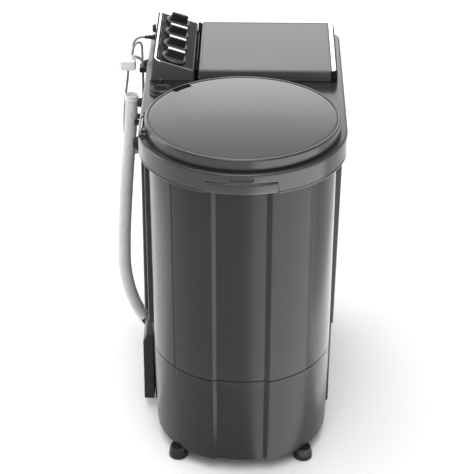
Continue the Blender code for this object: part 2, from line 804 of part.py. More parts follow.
def make_lint_filter():
    """A flat box that hangs on the tub's wall, towards the back."""
    half, deep = 0.032, 0.030
    z0, z1 = WASH_TUB_FLOOR + 0.170, WASH_TUB_FLOOR + 0.330
    taper = (WASH_TUB_R - WASH_TUB_FOOT_R) / (PLATE_Z - GAP - WASH_TUB_FLOOR - WASH_TUB_CURVE)
    wall_r = WASH_TUB_FOOT_R + taper * (z0 - WASH_TUB_FLOOR - WASH_TUB_CURVE)
    back = math.sqrt(((wall_r - RUN) * math.cos(math.pi / TUB_STEPS)) ** 2 - half**2)
    outline = [
        (WX - half, CY + back - deep),
        (WX + half, CY + back - deep),
        (WX + half, CY + back),
        (WX - half, CY + back),
    ]
    plate("lint_filter", outline, z0, z1, WHITE)


# ---------------------------------------------------------------- wash lid
def make_wash_lid():
    ring = [
        (WASH_PANEL_R, LID_TOP),
        (WASH_LID_R - 0.003, LID_TOP),
        (WASH_LID_R, LID_TOP - 0.003),
        (WASH_LID_R, LID_Z0),
        (WASH_LID_R - LID_WALL, LID_Z0),
        (WASH_LID_R - LID_WALL, LID_TOP - 0.005),
        (WASH_PANEL_R - 0.006, LID_TOP - 0.010),
        (WASH_PANEL_R - 0.006, LID_TOP - 0.007),
        (WASH_PANEL_R, LID_TOP - 0.007),
    ]
    rim = turned("wash_lid_ring", ring, BODY_GREY, (WX, CY, 0), 64, ring=True)
    notch = box(
        "lid_notch",
        (WASH_LID_R - 0.007, -NOTCH_HALF, LID_TOP - 0.004),
        (WASH_LID_R + 0.010, NOTCH_HALF, LID_TOP + 0.010),
        at=(WX, CY, 0),
        turn=(0, 0, math.radians(NOTCH_ANGLE)),
    )
    boolean(rim, notch)
    y, z = CY + WASH_HINGE[0], WASH_HINGE[1]
    for side, x in enumerate(WASH_EARS):
        half = EAR_WIDE / 2
        web = box(
            f"wash_ear_web_{side}",
            (x - half, y - 0.0105, z - 0.003),
            (x + half, y, z + 0.003),
        )
        barrel = rod(f"wash_ear_{side}", (x - half, y, z), (x + half, y, z), 0.0038, sides=16)
        boolean(rim, web, "UNION")
        boolean(rim, barrel, "UNION")
    bore = rod("wash_ear_bore", (WX - 0.06, y, z), (WX + 0.06, y, z), PIN_R + 2 * GAP, sides=12)
    boolean(rim, bore)
    panel_r = WASH_PANEL_R - 0.0008
    panel = [
        (0, LID_TOP - 0.0005),
        (panel_r - 0.001, LID_TOP - 0.0008),
        (panel_r, LID_TOP - 0.0018),
        (panel_r, LID_TOP - 0.007 + GAP),
        (0, LID_TOP - 0.007 + GAP),
    ]
    disc = turned("wash_lid_panel", panel, GLOSS_BLACK, (WX, CY, 0), 64)
    pivot("wash_lid_axis", (WX, y, z), rim, disc)
    x_end = WASH_LUGS[1][0] + 0.005
    x_start = WASH_LUGS[0][0] - 0.005
    rod("wash_lid_pin", (x_start, y, z), (x_end, y, z), PIN_R, STEEL, sides=12)


# ---------------------------------------------------------------- spinner
def make_spin_tub():
    top = PLATE_Z - GAP
    floor = SPIN_TUB_FLOOR
    profile = [
        (BELLOWS_HOLE, floor),
        (SPIN_TUB_R - 0.02, floor),
        (SPIN_TUB_R - 0.004, floor + 0.016),
        (SPIN_TUB_R, top),
        (SPIN_TUB_R + 0.008, top),
        (SPIN_TUB_R + 0.008, top - 0.004),
        (SPIN_TUB_R + TUB_WALL, top - 0.004),
        (SPIN_TUB_R - 0.004 + TUB_WALL, floor + 0.014),
        (SPIN_TUB_R - 0.019, floor - TUB_WALL),
        (BELLOWS_HOLE, floor - TUB_WALL),
    ]
    turned("spin_tub", profile, WHITE, (SX, SY, 0), 40, ring=True)


def make_basket():
    wall = 0.0015
    hub = 0.030
    low = SPIN_MOTOR_Z[1] + GAP
    profile = [
        (0, BASKET_FLOOR + hub),
        (0.022, BASKET_FLOOR + hub),
        (0.034, BASKET_FLOOR + 0.004),
        (BASKET_R - 0.010, BASKET_FLOOR),
        (BASKET_R - wall, BASKET_FLOOR + 0.010),
        (BASKET_R - wall, BASKET_TOP - 0.012),
        (BASKET_R - 0.012, BASKET_TOP),
        (BASKET_R - 0.006, BASKET_TOP + wall),
        (BASKET_R, BASKET_TOP - 0.010),
        (BASKET_R, BASKET_FLOOR + 0.009),
        (BASKET_R - 0.009, BASKET_FLOOR - wall),
        (SHAFT_R + 0.006, BASKET_FLOOR - wall),
        (SHAFT_R, BASKET_FLOOR - 0.006),
        (SHAFT_R, low),
        (0, low),
    ]
    basket = turned("spin_basket", profile, STEEL, (SX, SY, 0), 40)
    mat_z = BASKET_FLOOR + hub + 0.003 + GAP
    mat = turned(
        "spin_safety_mat",
        [
            (0.014, mat_z),
            (BASKET_R - 0.012 - RUN, mat_z),
            (BASKET_R - 0.012 - RUN, mat_z - 0.003),
            (0.014, mat_z - 0.003),
        ],
        WHITE,
        (SX, SY, 0),
        32,
        ring=True,
    )
    drum = turned(
        "brake_drum",
        [
            (SHAFT_R + GAP, DRUM_Z[1]),
            (DRUM_R, DRUM_Z[1]),
            (DRUM_R, DRUM_Z[0]),
            (SHAFT_R + GAP, DRUM_Z[0]),
        ],
        CAST,
        (SX, SY, 0),
        32,
        ring=True,
    )
    return basket, mat, drum


def make_bellows():
    top = SPIN_TUB_FLOOR - TUB_WALL - GAP
    bore = SHAFT_R + RUN
    profile = [
        (bore, top - 0.002),
        (BELLOWS_HOLE + 0.010, top),
        (BELLOWS_HOLE + 0.010, top - 0.004),
        (0.022, top - 0.012),
        (0.028, top - 0.020),
        (0.018, top - 0.030),
        (0.018, top - 0.044),
        (bore, top - 0.044),
    ]
    turned("bellows_seal", profile, RUBBER, (SX, SY, 0), 24, ring=True)


def make_spin_motor():
    low, high = SPIN_MOTOR_Z
    profile = [
        (0, high),
        (BRAKE_PLATE_R, high),
        (BRAKE_PLATE_R, high - 0.004),
        (SPIN_MOTOR_R - 0.006, high - 0.004),
        (SPIN_MOTOR_R, high - 0.014),
        (SPIN_MOTOR_R, low + 0.012),
        (SPIN_MOTOR_R - 0.016, low),
        (0, low),
    ]
    motor = turned("spin_motor", profile, CAST, (SX, SY, 0), 32)
    floor = BASE_Z0 + BASE_WALL + GAP
    arm_z = (0.100, 0.106)
    springs = 3
    for i in range(springs):
        angle = 2 * math.pi * i / springs + math.pi / 6
        arm = box(
            f"spring_arm_{i}",
            (SPIN_MOTOR_R - 0.010, -0.013, arm_z[0]),
            (SPRING_RING + 0.014, 0.013, arm_z[1]),
            at=(SX, SY, 0),
            turn=(0, 0, angle),
        )
        boolean(motor, arm, "UNION")
        wire = 0.0016
        turns = 5
        per_turn = 8
        z0, z1 = floor + wire + GAP, arm_z[0] - wire - GAP
        line = []
        for k in range(turns * per_turn + 1):
            at = 2 * math.pi * k / per_turn
            x = SX + SPRING_RING * math.cos(angle) + SPRING_R * math.cos(at)
            y = SY + SPRING_RING * math.sin(angle) + SPRING_R * math.sin(at)
            line.append((x, y, z0 + (z1 - z0) * k / (turns * per_turn)))
        tube(f"spin_spring_{i + 1}", line, wire, STEEL, 1)
    px, py = SX + BRAKE_PIVOT[0], SY + BRAKE_PIVOT[1]
    post = rod("brake_post", (px, py, high - 0.002), (px, py, DRUM_Z[1]), 0.003, sides=12)
    boolean(motor, post, "UNION")


def make_brake_lever():
    px, py = BRAKE_PIVOT
    z0, z1 = DRUM_Z[0] + 0.006, DRUM_Z[1] - 0.006
    inner = DRUM_R + 0.0028
    outline = [
        (inner, -0.010),
        (inner + 0.004, -0.032),
        (px + 0.004, -0.032),
        (px + 0.007, py + 0.006),
        (px - 0.006, py + 0.008),
        (inner + 0.003, 0.012),
    ]
    lever = plate("brake_lever", [(SX + x, SY + y) for x, y in outline], z0, z1, STEEL)
    hole = (SX + px, SY + py)
    boolean(lever, rod("lever_hole", (*hole, z0 - 0.01), (*hole, z1 + 0.01), 0.0036, sides=12))
    pivot("brake_axis", (*hole, z0), lever)


# ---------------------------------------------------------------- spinner lid
def make_spin_lid():
    x0, x1 = (WX + x for x in SPIN_LID_X)
    y0, y1 = (CY + y for y in SPIN_LID_Y)
    front = y0 + TRIM_DEEP + GAP
    edge = 0.0022
    frame = loft(
        "spin_lid",
        [
            (LID_Z0, rounded_rectangle(x0, x1, front, y1, 0.004, 0.004, 3)),
            (LID_TOP - edge, rounded_rectangle(x0, x1, front, y1, 0.004, 0.004, 3)),
            (LID_TOP, rounded_rectangle(x0 + edge, x1 - edge, front, y1 - edge, 0.003, 0.003, 3)),
        ],
        BODY_GREY,
    )
    wall = LID_WALL
    boolean(
        frame,
        box(
            "spin_lid_hollow",
            (x0 + wall, front + wall, LID_Z0 - 0.01),
            (x1 - wall, y1 - wall, LID_TOP - 0.006),
        ),
    )
    side, deep = 0.006, 0.0032
    low = LID_TOP - deep
    panel_at = (x0 + side, x1 - side, front + 0.001, y1 - side)
    seat = rounded_rectangle(*panel_at, 0.003, 0.003, 3)
    boolean(frame, plate("spin_panel_seat", seat, low, LID_TOP + 0.01))
    inset = [panel_at[0] + GAP, panel_at[1] - GAP, panel_at[2] + GAP, panel_at[3] - GAP]
    outline = rounded_rectangle(*inset, 0.003, 0.003, 3)
    panel = plate("spin_lid_panel", outline, low + GAP, LID_TOP - 0.0004, GLOSS_BLACK)
    y, z = CY + SPIN_HINGE[0], SPIN_HINGE[1]
    for side_number, (a, b) in enumerate(SPIN_SLEEVES):
        web = box(
            f"spin_sleeve_web_{side_number}",
            (a, y1 - wall / 2, z - 0.0032),
            (b, y, z + 0.0032),
        )
        barrel = rod(f"spin_sleeve_{side_number}", (a, y, z), (b, y, z), 0.0036, sides=16)
        boolean(frame, web, "UNION")
        boolean(frame, barrel, "UNION")
    far = (x1 + 0.01, y, z)
    boolean(frame, rod("spin_sleeve_bore", (x0 - 0.01, y, z), far, PIN_R + 2 * GAP, sides=12))
    trim = make_spin_trim(x0, x1, y0)
    pivot("spin_lid_axis", (SX, y, z), frame, panel, trim)
    ends = (SPIN_LUGS[0][0] - 0.002, SPIN_LUGS[-1][0] + 0.002)
    rod("spin_lid_pin", (ends[0], y, z), (ends[1], y, z), PIN_R, STEEL, sides=12)


def make_spin_trim(x0, x1, y0):
    """The bright strip along the lid's front edge, with a bevel that runs down to the lid's lip."""
    back = y0 + TRIM_DEEP

    def strip(lower_front, count=4):
        corner = TRIM_DEEP - 0.003
        return [
            *arc((x0 + corner, y0 + corner + lower_front), corner, 180, 270, count),
            *arc((x1 - corner, y0 + corner + lower_front), corner, 270, 360, count),
            (x1, back),
            (x0, back),
        ]

    return loft(
        "spin_lid_trim",
        [(LID_Z0, strip(0.0)), (LID_TOP - 0.006, strip(0.0)), (LID_TOP - 0.0004, strip(0.0022))],
        SILVER,
    )


# ---------------------------------------------------------------- control box and knobs
def console_point(dx, up=0.0, dy=KNOB_Y):
    """A point on the sloping face, or above it along its normal."""
    rise = math.tan(SLOPE) * (dy - CONSOLE_FRONT[0])
    z = CONSOLE_FRONT[1] + rise + up * math.cos(SLOPE)
    return (WX + dx, CY + dy - up * math.sin(SLOPE), z)


def make_console():
    x0, x1 = CONSOLE_X
    wall = CONSOLE_WALL
    foot = DECK_TOP + GAP
    profile = [
        (CY + CONSOLE_FRONT[0], foot),
        (CY + CONSOLE_REAR_FOOT, foot),
        (CY + CONSOLE_BACK[0] + 0.0015, CONSOLE_BACK[1] - 0.003),
        (CY + CONSOLE_BACK[0] - 0.002, CONSOLE_BACK[1]),
        (CY + CONSOLE_FRONT[0] + 0.002, CONSOLE_FRONT[1] + 0.0006),
        (CY + CONSOLE_FRONT[0], CONSOLE_FRONT[1] - 0.002),
    ]
    hollow = [
        (CY + CONSOLE_FRONT[0] + wall, foot - 0.01),
        (CY + CONSOLE_REAR_FOOT - wall, foot - 0.01),
        (CY + CONSOLE_BACK[0] - wall, CONSOLE_BACK[1] - wall - 0.002),
        (CY + CONSOLE_FRONT[0] + wall, CONSOLE_FRONT[1] - wall - 0.0005),
    ]
    turn = (math.pi / 2, 0, math.pi / 2)
    case = plate("control_box", profile, x0, x1, BLACK, turn=turn)
    boolean(case, plate("console_hollow", hollow, x0 + wall, x1 - wall, turn=turn))
    for i in range(4):
        dx = KNOB_FIRST + i * KNOB_PITCH
        low, high = console_point(dx, -0.02), console_point(dx, 0.02)
        boolean(case, rod(f"console_hole_{i}", low, high, SPINDLE_R + 2 * RUN, sides=16))
    y0 = CY + CONSOLE_BACK[0] - 0.006
    at = (WX + CORD_X, y0, EXIT_Z)
    boolean(case, rod("cord_hole", at, (at[0], at[1] + 0.03, at[2]), RELIEF_NECK + GAP, sides=16))


def make_knob(name, dx):
    """A round plate with a bar across it, bored from below for its spindle."""
    at = console_point(dx)
    turn = (SLOPE, 0, 0)
    low = GAP + 0.0005
    profile = [
        (0, KNOB_PLATE),
        (KNOB_R - 0.004, KNOB_PLATE),
        (KNOB_R, KNOB_PLATE - 0.003),
        (KNOB_R, low),
        (0, low),
    ]
    knob = turned(name, profile, BLACK, at, 40, turn=turn)
    wide, long = GRIP
    base = rounded_rectangle(-wide / 2, wide / 2, -long / 2, long / 2, 0.004, 0.004, 3)
    lean = 0.0015
    crest = rounded_rectangle(
        lean - wide / 2, wide / 2 - lean, lean - long / 2, long / 2 - lean, 0.003, 0.003, 3
    )
    bar = loft(f"{name}_bar", [(KNOB_PLATE - 0.001, base), (KNOB_H, crest)], at=at)
    bar.rotation_euler = turn
    boolean(knob, bar, "UNION")
    bore_low, bore_top = console_point(dx), console_point(dx, SPINDLE_UP + GAP)
    return boolean(knob, rod(f"{name}_bore", bore_low, bore_top, SPINDLE_R + 2 * GAP, sides=16))


def make_timer(name, dx):
    """The clockwork under a knob, with its spindle up through the sloping face."""
    at = console_point(dx)
    turn = (SLOPE, 0, 0)
    top = -CONSOLE_WALL - 0.0015
    body = box(name, (-0.020, -0.018, top - 0.020), (0.020, 0.018, top), CAST, at, turn)
    spindle = turned(
        f"{name}_spindle",
        [(0, SPINDLE_UP), (SPINDLE_R, SPINDLE_UP), (SPINDLE_R, top - 0.004), (0, top - 0.004)],
        at=at,
        steps=16,
        turn=turn,
    )
    return boolean(body, spindle, "UNION")


# ---------------------------------------------------------------- water inlet
def make_inlet():
    back = HALF - 0.0105
    rim = WASH_LID_R + 0.0055
    x_far = SPIN_LID_X[0] - 0.0008
    outline = [
        (x_far, back),
        (0.170, back - 0.0045),
        (0.158, back - 0.009),
        (0.152, back - 0.021),
        *arc((0, 0), rim, 51, 31, 7),
        (x_far, 0.113),
    ]
    low, high = DECK_TOP + GAP, DECK_TOP + 0.0025
    tray = plate("inlet_tray", [seen_from_top(*p) for p in outline], low, high, BLACK)
    funnel = seen_from_top(*FUNNEL_AT)
    neck = FUNNEL_R - 0.004
    boolean(tray, rod("tray_hole", (*funnel, low - 0.01), (*funnel, high + 0.01), neck + RUN))
    profile = [
        (FUNNEL_R - 0.006, high + 0.0035),
        (FUNNEL_R, high + 0.0035),
        (FUNNEL_R + 0.001, high + GAP),
        (neck, high + GAP),
        (neck, DECK_TOP - 0.012),
        (0.011, DECK_TOP - 0.030),
        (0.011, DECK_TOP - 0.045),
        (0.009, DECK_TOP - 0.045),
        (0.009, DECK_TOP - 0.029),
        (neck - 0.002, DECK_TOP - 0.010),
    ]
    turned("inlet_funnel", profile, BLACK, (*funnel, 0), 32, ring=True)


# ---------------------------------------------------------------- rear fittings
def make_spacers():
    """Round buffers that keep the hose and the cord off the wall."""
    for number, (dx, start, z, radius, reach) in enumerate(SPACERS, 1):
        at = (WX + dx, CY + HALF + start + GAP, z)
        profile = [
            (0, 0),
            (radius, 0),
            (radius, 0.35 * reach),
            (0.8 * radius, reach),
            (0, reach),
        ]
        turned(
            f"wall_spacer_{number}",
            [(r, reach - h) for r, h in profile],
            RUBBER,
            (at[0], at[1] + reach, at[2]),
            20,
            turn=(math.pi / 2, 0, 0),
        )


def fork(name, dx, z, start, half, reach, tall, thick=0.0022):
    """A plastic clip: a foot on the wall and two prongs, one on each side of what it holds."""
    x, y = WX + dx, CY + start
    foot = box(name, (x - half - thick, y, z), (x + half + thick, y + thick, z + tall), BLACK)
    for side in (-1, 1):
        a, b = sorted((x + side * half, x + side * (half + thick)))
        prong = box(f"{name}_prong_{side + 1}", (a, y, z), (b, y + reach, z + tall))
        boolean(foot, prong, "UNION")
    return foot


def make_relief():
    y = CY + CONSOLE_BACK[0] + 0.0045
    profile = [
        (0, RELIEF_LONG),
        (CORD_D / 2 + 0.001, RELIEF_LONG),
        (RELIEF_NECK + 0.001, 0.004),
        (RELIEF_NECK + 0.001, 0),
        (RELIEF_NECK - GAP, 0),
        (RELIEF_NECK - GAP, -0.006),
        (0, -0.006),
    ]
    at = (WX + CORD_X, y, EXIT_Z)
    turned("strain_relief", profile, RUBBER, at, 16, turn=(-math.pi / 2, 0, 0))


def make_valve():
    x, y = seen_from_top(*VALVE_AT)
    low, high = VALVE_Z
    bore = VALVE_R - 0.005
    profile = [
        (0, low + 0.045),
        (bore, low + 0.045),
        (bore, high),
        (VALVE_R, high),
        (VALVE_R, low),
        (0, low),
    ]
    turned("drain_valve", profile, WHITE, (x, y, 0), 28)
    seat = low + 0.045 + RUN
    plunger = [
        (0, high + 0.040),
        (0.004, high + 0.040),
        (0.004, seat + 0.012),
        (bore - RUN, seat + 0.010),
        (bore - RUN, seat),
        (0, seat),
    ]
    turned("valve_plunger", plunger, RUBBER, (x, y, 0), 24)


def make_hose():
    tube("hose_outlet", smooth_line(to_row(OUTLET_ROUTE), 0.012), OUTLET_R, BLACK, 4)
    line = smooth_line(to_row(HOSE_ROUTE), 0.034)
    tube("drain_hose", line, HOSE_R, HOSE_GREY, 4)
    top = Vector(line[-1])
    heading = (top - Vector(line[-2])).normalized()
    start = top + heading * GAP
    end = start + heading * CUFF_LONG
    rod("hose_cuff", start, end, HOSE_R + 0.0012, HOSE_GREY, 28, HOSE_R)


def make_cord():
    tube("power_cord", smooth_line(to_row(CORD_ROUTE), 2.5 * CORD_D), CORD_D / 2, CORD_GREY)
    tube("plug_tail", smooth_line(to_row(TAIL_ROUTE), 2.5 * CORD_D), CORD_D / 2, CORD_GREY)
    line = smooth_line([(0, y, z) for y, z in HANK_ROUTE], 0.02)
    middle = Vector((0, sum(p.y for p in line) / len(line), sum(p.z for p in line) / len(line)))
    outline = []
    for before, here, after in zip([line[-2], *line], line, [*line[1:], line[1]]):
        along = (after - before).normalized()
        out = Vector((0, along.z, -along.y))
        if out.dot(here - middle) < 0:
            out = -out
        outline.append(here + out * CORD_D / 2)
    outline = [(CY + HALF + p.y, p.z) for p in outline[-2::-1]]
    turn = (math.pi / 2, 0, math.pi / 2)
    x0, x1 = (WX + x for x in HANK_X)
    hank = plate("cord_hank", outline, x0, x1, CORD_GREY, turn=turn)
    return hank


def to_row(route):
    """Points given from the wash axis and the top cover's rear edge."""
    return [(WX + dx, CY + HALF + dy, z) for dx, dy, z in route]


def make_plug():
    """A right-angled plug: the cord comes in from above and the two pins point away from the wall."""
    x, y, z = to_row([PLUG_AT])[0]
    wide, long, tall = 0.0145, 0.019, 0.012
    outline = rounded_rectangle(x - wide, x + wide, y - long, y + long, 0.005, 0.005, 4)
    body = plate("plug", outline, z - tall, z + tall, PLUG_WHITE)
    collar_y = y - 0.011
    neck = rod(
        "plug_neck",
        (x, collar_y, z + tall - 0.002),
        (x, collar_y, z + tall + 0.012),
        0.0065,
        sides=16,
        radius_end=0.004,
    )
    boolean(body, neck, "UNION")
    for side in (-1, 1):
        px = x + side * 0.0065
        pin = rod(
            f"plug_pin_{side + 1}",
            (px, y + long - 0.003, z),
            (px, y + long + PLUG_PIN, z),
            0.0022,
            sides=12,
        )
        boolean(body, pin, "UNION")


# ---------------------------------------------------------------- the whole machine
make_base()
make_feet()
make_cabinet()
make_rear_panel()
make_rear_cover()
make_top_cover()
make_handle()
make_wash_tub()
make_pulsator()
make_gearbox()
make_drive()
make_lint_filter()
make_wash_lid()
make_spin_tub()
make_basket()
make_bellows()
make_spin_motor()
make_brake_lever()
make_spin_lid()
make_console()
for number, knob in enumerate(("wash_timer", "wash_mode", "drain", "spin_timer")):
    make_knob(f"knob_{knob}", KNOB_FIRST + number * KNOB_PITCH)
make_timer("wash_timer", KNOB_FIRST)
make_timer("spin_timer", KNOB_FIRST + 3 * KNOB_PITCH)
make_inlet()
make_spacers()
fork("cord_clip", (HANK_X[0] + HANK_X[1]) / 2, 0.735, REAR_TOP + 0.0125, 0.0118, 0.0165, 0.012)
fork("hose_clip", HOSE_X, 0.700, REAR_TOP + 0.0098, HOSE_R + GAP, 0.018, 0.014)
make_relief()
make_valve()
make_hose()
make_cord()
make_plug()
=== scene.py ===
import json
import math

import bmesh
import bpy
from mathutils import Matrix, Vector

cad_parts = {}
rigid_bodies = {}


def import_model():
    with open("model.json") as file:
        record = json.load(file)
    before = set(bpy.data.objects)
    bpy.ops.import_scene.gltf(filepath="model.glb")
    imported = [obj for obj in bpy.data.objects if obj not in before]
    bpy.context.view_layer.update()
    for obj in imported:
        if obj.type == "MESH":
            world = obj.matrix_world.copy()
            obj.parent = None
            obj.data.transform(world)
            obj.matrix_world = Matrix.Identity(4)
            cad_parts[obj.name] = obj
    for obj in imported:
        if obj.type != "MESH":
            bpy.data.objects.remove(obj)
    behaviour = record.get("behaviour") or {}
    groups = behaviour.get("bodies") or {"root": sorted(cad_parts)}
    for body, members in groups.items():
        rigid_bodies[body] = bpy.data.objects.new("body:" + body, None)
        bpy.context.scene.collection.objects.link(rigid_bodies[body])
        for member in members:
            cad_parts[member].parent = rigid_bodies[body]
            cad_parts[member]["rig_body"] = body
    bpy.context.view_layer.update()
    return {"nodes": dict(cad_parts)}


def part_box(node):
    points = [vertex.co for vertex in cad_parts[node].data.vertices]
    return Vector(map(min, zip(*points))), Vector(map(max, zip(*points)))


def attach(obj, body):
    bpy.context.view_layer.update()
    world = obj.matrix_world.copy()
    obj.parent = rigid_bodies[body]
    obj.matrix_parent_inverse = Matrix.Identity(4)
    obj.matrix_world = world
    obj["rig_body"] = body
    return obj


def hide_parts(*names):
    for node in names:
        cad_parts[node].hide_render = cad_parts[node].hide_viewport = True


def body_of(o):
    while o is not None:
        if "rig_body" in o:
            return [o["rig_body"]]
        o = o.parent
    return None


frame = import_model()

# ------------------------------------------------------------------ places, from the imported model
# x is counted from the wash tub's axis and y from the centre line, as in the part's own source
deck_low, deck_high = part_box("top_cover")
HALF = (deck_high.y - deck_low.y) / 2
CENTRE_Y = (deck_high.y + deck_low.y) / 2
WASH_X = deck_low.x + HALF
FAR_X = deck_high.x - WASH_X
SKIRT_Z = deck_low.z
DECK_DEEP = 0.050
DECK_TOP = SKIRT_Z + DECK_DEEP
BODY = "cabinet_body"
UP = Vector((0, 0, 1))


def spot(dx, dy, z):
    return Vector((WASH_X + dx, CENTRE_Y + dy, z))


def own_box(node):
    """A node's lowest and highest corners, counted from the wash axis and the centre line."""
    low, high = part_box(node)
    zero = Vector((WASH_X, CENTRE_Y, 0))
    return low - zero, high - zero


# ------------------------------------------------------------------ finishes
def linear(code):
    """An sRGB hex colour as linear red, green, blue and alpha."""
    parts = [int(code[i : i + 2], 16) / 255 for i in (0, 2, 4)]
    return (*[c / 12.92 if c < 0.04045 else ((c + 0.055) / 1.055) ** 2.4 for c in parts], 1.0)


def node(tree, kind, inputs=None, **settings):
    """Adds one shader node, with its settings, its values and its links."""
    made = tree.nodes.new(kind)
    for name, value in settings.items():
        setattr(made, name, value)
    for socket, value in (inputs or {}).items():
        if isinstance(value, bpy.types.NodeSocket):
            tree.links.new(value, made.inputs[socket])
        else:
            made.inputs[socket].default_value = value
    return made


def ranged(tree, value, low, high, start=0.0, end=1.0):
    """A value between start and end, mapped onto low to high."""
    limits = {"From Min": start, "From Max": end, "To Min": low, "To Max": high}
    return node(tree, "ShaderNodeMapRange", {"Value": value, **limits}).outputs[0]


# how far the slow change of shade swings, as a multiple of a finish's tint
SLOW_SWING = 1.4
# the change in a finish's roughness where its shade changes
GLOSS_SWING = 0.12
# Blender's pointiness at the start and the end of a paler edge, worn and with a painted highlight
EDGE_START, EDGE_END = 0.52, 0.62
GRAIN_HEIGHT = 0.0006
GLOW_REACH = 0.004


def finish(
    name, colour, rough, grain=0.0016, relief=0.05, cloud=0.09, tint=0.06, wear_and_edge_highlight=0.10,
    metal=0.0, ior=1.5, coat=0.0, coat_rough=0.1, stretch=(1, 1, 1), glow=0.0,
):
    """A moulded, rolled or painted surface.

    grain is the size of its surface texture and cloud that of its slow change of shade, in metres.
    relief is how deep the grain reads, tint how far the shade drifts, and wear_and_edge_highlight how much
    paler the handled, sharp edges are, as wear and as a painted highlight. stretch draws the pattern out, as
    brushing does.
    """
    made = bpy.data.materials.new(name)
    made.use_nodes = True
    tree = made.node_tree
    shader = tree.nodes["Principled BSDF"]
    base = linear(colour)
    place = node(tree, "ShaderNodeTexCoord").outputs["Object"]
    drawn = node(tree, "ShaderNodeMapping", {"Vector": place, "Scale": stretch}).outputs[0]
    fine = node(tree, "ShaderNodeTexNoise", {"Vector": drawn, "Scale": 1 / grain, "Detail": 3.0})
    slow = node(tree, "ShaderNodeTexNoise", {"Vector": place, "Scale": 1 / cloud, "Detail": 2.0})
    shade = ranged(tree, slow.outputs[0], 1 - SLOW_SWING * tint, 1 + SLOW_SWING * tint)
    speck = ranged(tree, fine.outputs[0], 1 - tint / 2, 1 + tint / 2)
    level = node(tree, "ShaderNodeMath", {0: shade, 1: speck}, operation="MULTIPLY").outputs[0]
    body = node(tree, "ShaderNodeVectorMath", {0: base[:3], "Scale": level}, operation="SCALE").outputs[0]
    # Sharp edges turn paler by pointiness: handling wear, and also a painted highlight along every edge
    # whatever the lamps do.
    edge = node(tree, "ShaderNodeNewGeometry").outputs["Pointiness"]
    worn_and_highlit_edge = ranged(tree, edge, 0.0, wear_and_edge_highlight, EDGE_START, EDGE_END)
    worn_and_highlit_colour = tuple(min(1.0, c * 1.8 + 0.06) for c in base[:3]) + (1.0,)
    mixed = node(tree, "ShaderNodeMix", {0: worn_and_highlit_edge, 6: body, 7: worn_and_highlit_colour}, data_type="RGBA").outputs[2]
    tree.links.new(mixed, shader.inputs["Base Color"])
    glossiest, dullest = max(0.02, rough * (1 - GLOSS_SWING)), min(1.0, rough * (1 + GLOSS_SWING))
    gloss = ranged(tree, slow.outputs[0], glossiest, dullest)
    tree.links.new(gloss, shader.inputs["Roughness"])
    heights = {"Height": fine.outputs[0], "Strength": relief, "Distance": GRAIN_HEIGHT}
    tree.links.new(node(tree, "ShaderNodeBump", heights).outputs[0], shader.inputs["Normal"])
    shader.inputs["Metallic"].default_value = metal
    if not metal:
        shader.inputs["IOR"].default_value = ior
    shader.inputs["Coat Weight"].default_value = coat
    shader.inputs["Coat Roughness"].default_value = coat_rough
    shader.inputs["Subsurface Weight"].default_value = glow
    shader.inputs["Subsurface Radius"].default_value = (GLOW_REACH,) * 3
    return made


# Moulded ABS, spark-eroded grain: satin, its grain drawn coarser than real so that it shows.
ABS_BODY = finish("moulded_abs_graphite", "212122", 0.26, grain=0.0022, relief=0.03, tint=0.05, ior=1.37)
ABS_BASE = finish("moulded_abs_base", "1f1f20", 0.30, grain=0.0022, relief=0.04, tint=0.05, ior=1.36)
# The top cover comes from a smoother tool, so it shines more.
ABS_DECK = finish(
    "moulded_abs_deck", "2a2a2b",
    0.25, grain=0.0030, relief=0.02, tint=0.04, wear_and_edge_highlight=0.05, coat=0.22, coat_rough=0.2,
)
# Black ABS for clips, knob bars, the inlet tray and the belt cover; the same finish is painted into the screw
# heads' cross recesses as painted shade.
ABS_BLACK_AND_PAINTED_SHADE = finish("moulded_abs_black_and_painted_shade", "141415", 0.42, grain=0.0018, relief=0.06, ior=1.4)
# The spinner lid and the control box's walls are moulded in a lighter grey.
ABS_LID = finish("moulded_abs_lid_grey", "4c4c4d", 0.32, grain=0.0022, relief=0.03, tint=0.04, ior=1.42)
ABS_RING = finish("moulded_abs_knob_ring", "3c3c3d", 0.34, grain=0.0018, relief=0.03, ior=1.45)
# Acetal hinge parts: waxy and nearly black. This dull near-black finish is also laid as painted shade in the
# wash lid's finger notch and in the gap behind the spinner lid.
ACETAL_AND_PAINTED_SHADE = finish("moulded_acetal_black_and_painted_shade", "070708", 0.80, grain=0.0018, relief=0.05, wear_and_edge_highlight=0.02, ior=1.12)
CONSOLE_FACE = finish("printed_face_black", "131314", 0.44, grain=0.0016, relief=0.04, ior=1.13)
# Injection-moulded acrylic over a dark backing: a hard wet gloss with fine haze.
ACRYLIC = finish(
    "backed_acrylic_lid", "262627", 0.26, grain=0.012, relief=0.002, cloud=0.20, tint=0.03,
    wear_and_edge_highlight=0.0, ior=1.45, coat=0.35, coat_rough=0.18,
)
SMOKED = finish(
    "backed_acrylic_spin_lid", "3a3a3b", 0.32, grain=0.012, relief=0.002, cloud=0.20, tint=0.03,
    wear_and_edge_highlight=0.0, ior=1.45, coat=0.15, coat_rough=0.18,
)
# Hot-foiled trim: bright silver, faintly drawn along its length.
FOIL = finish("hot_foil_silver", "e6e6e8", 0.24, grain=0.0012, relief=0.03, metal=0.85, stretch=(0.05, 1, 1))
PRINT_WHITE = finish("tampo_print_white", "f2f2f0", 0.45, relief=0.01, wear_and_edge_highlight=0.0)
PRINT_GREY = finish("tampo_print_grey", "8c8c8e", 0.45, relief=0.01, wear_and_edge_highlight=0.0)
# Polypropylene tubs: waxy white, a little light goes in.
PP_TUB = finish("polypropylene_white", "e2e4e6", 0.32, grain=0.004, relief=0.03, glow=0.08, wear_and_edge_highlight=0.05)
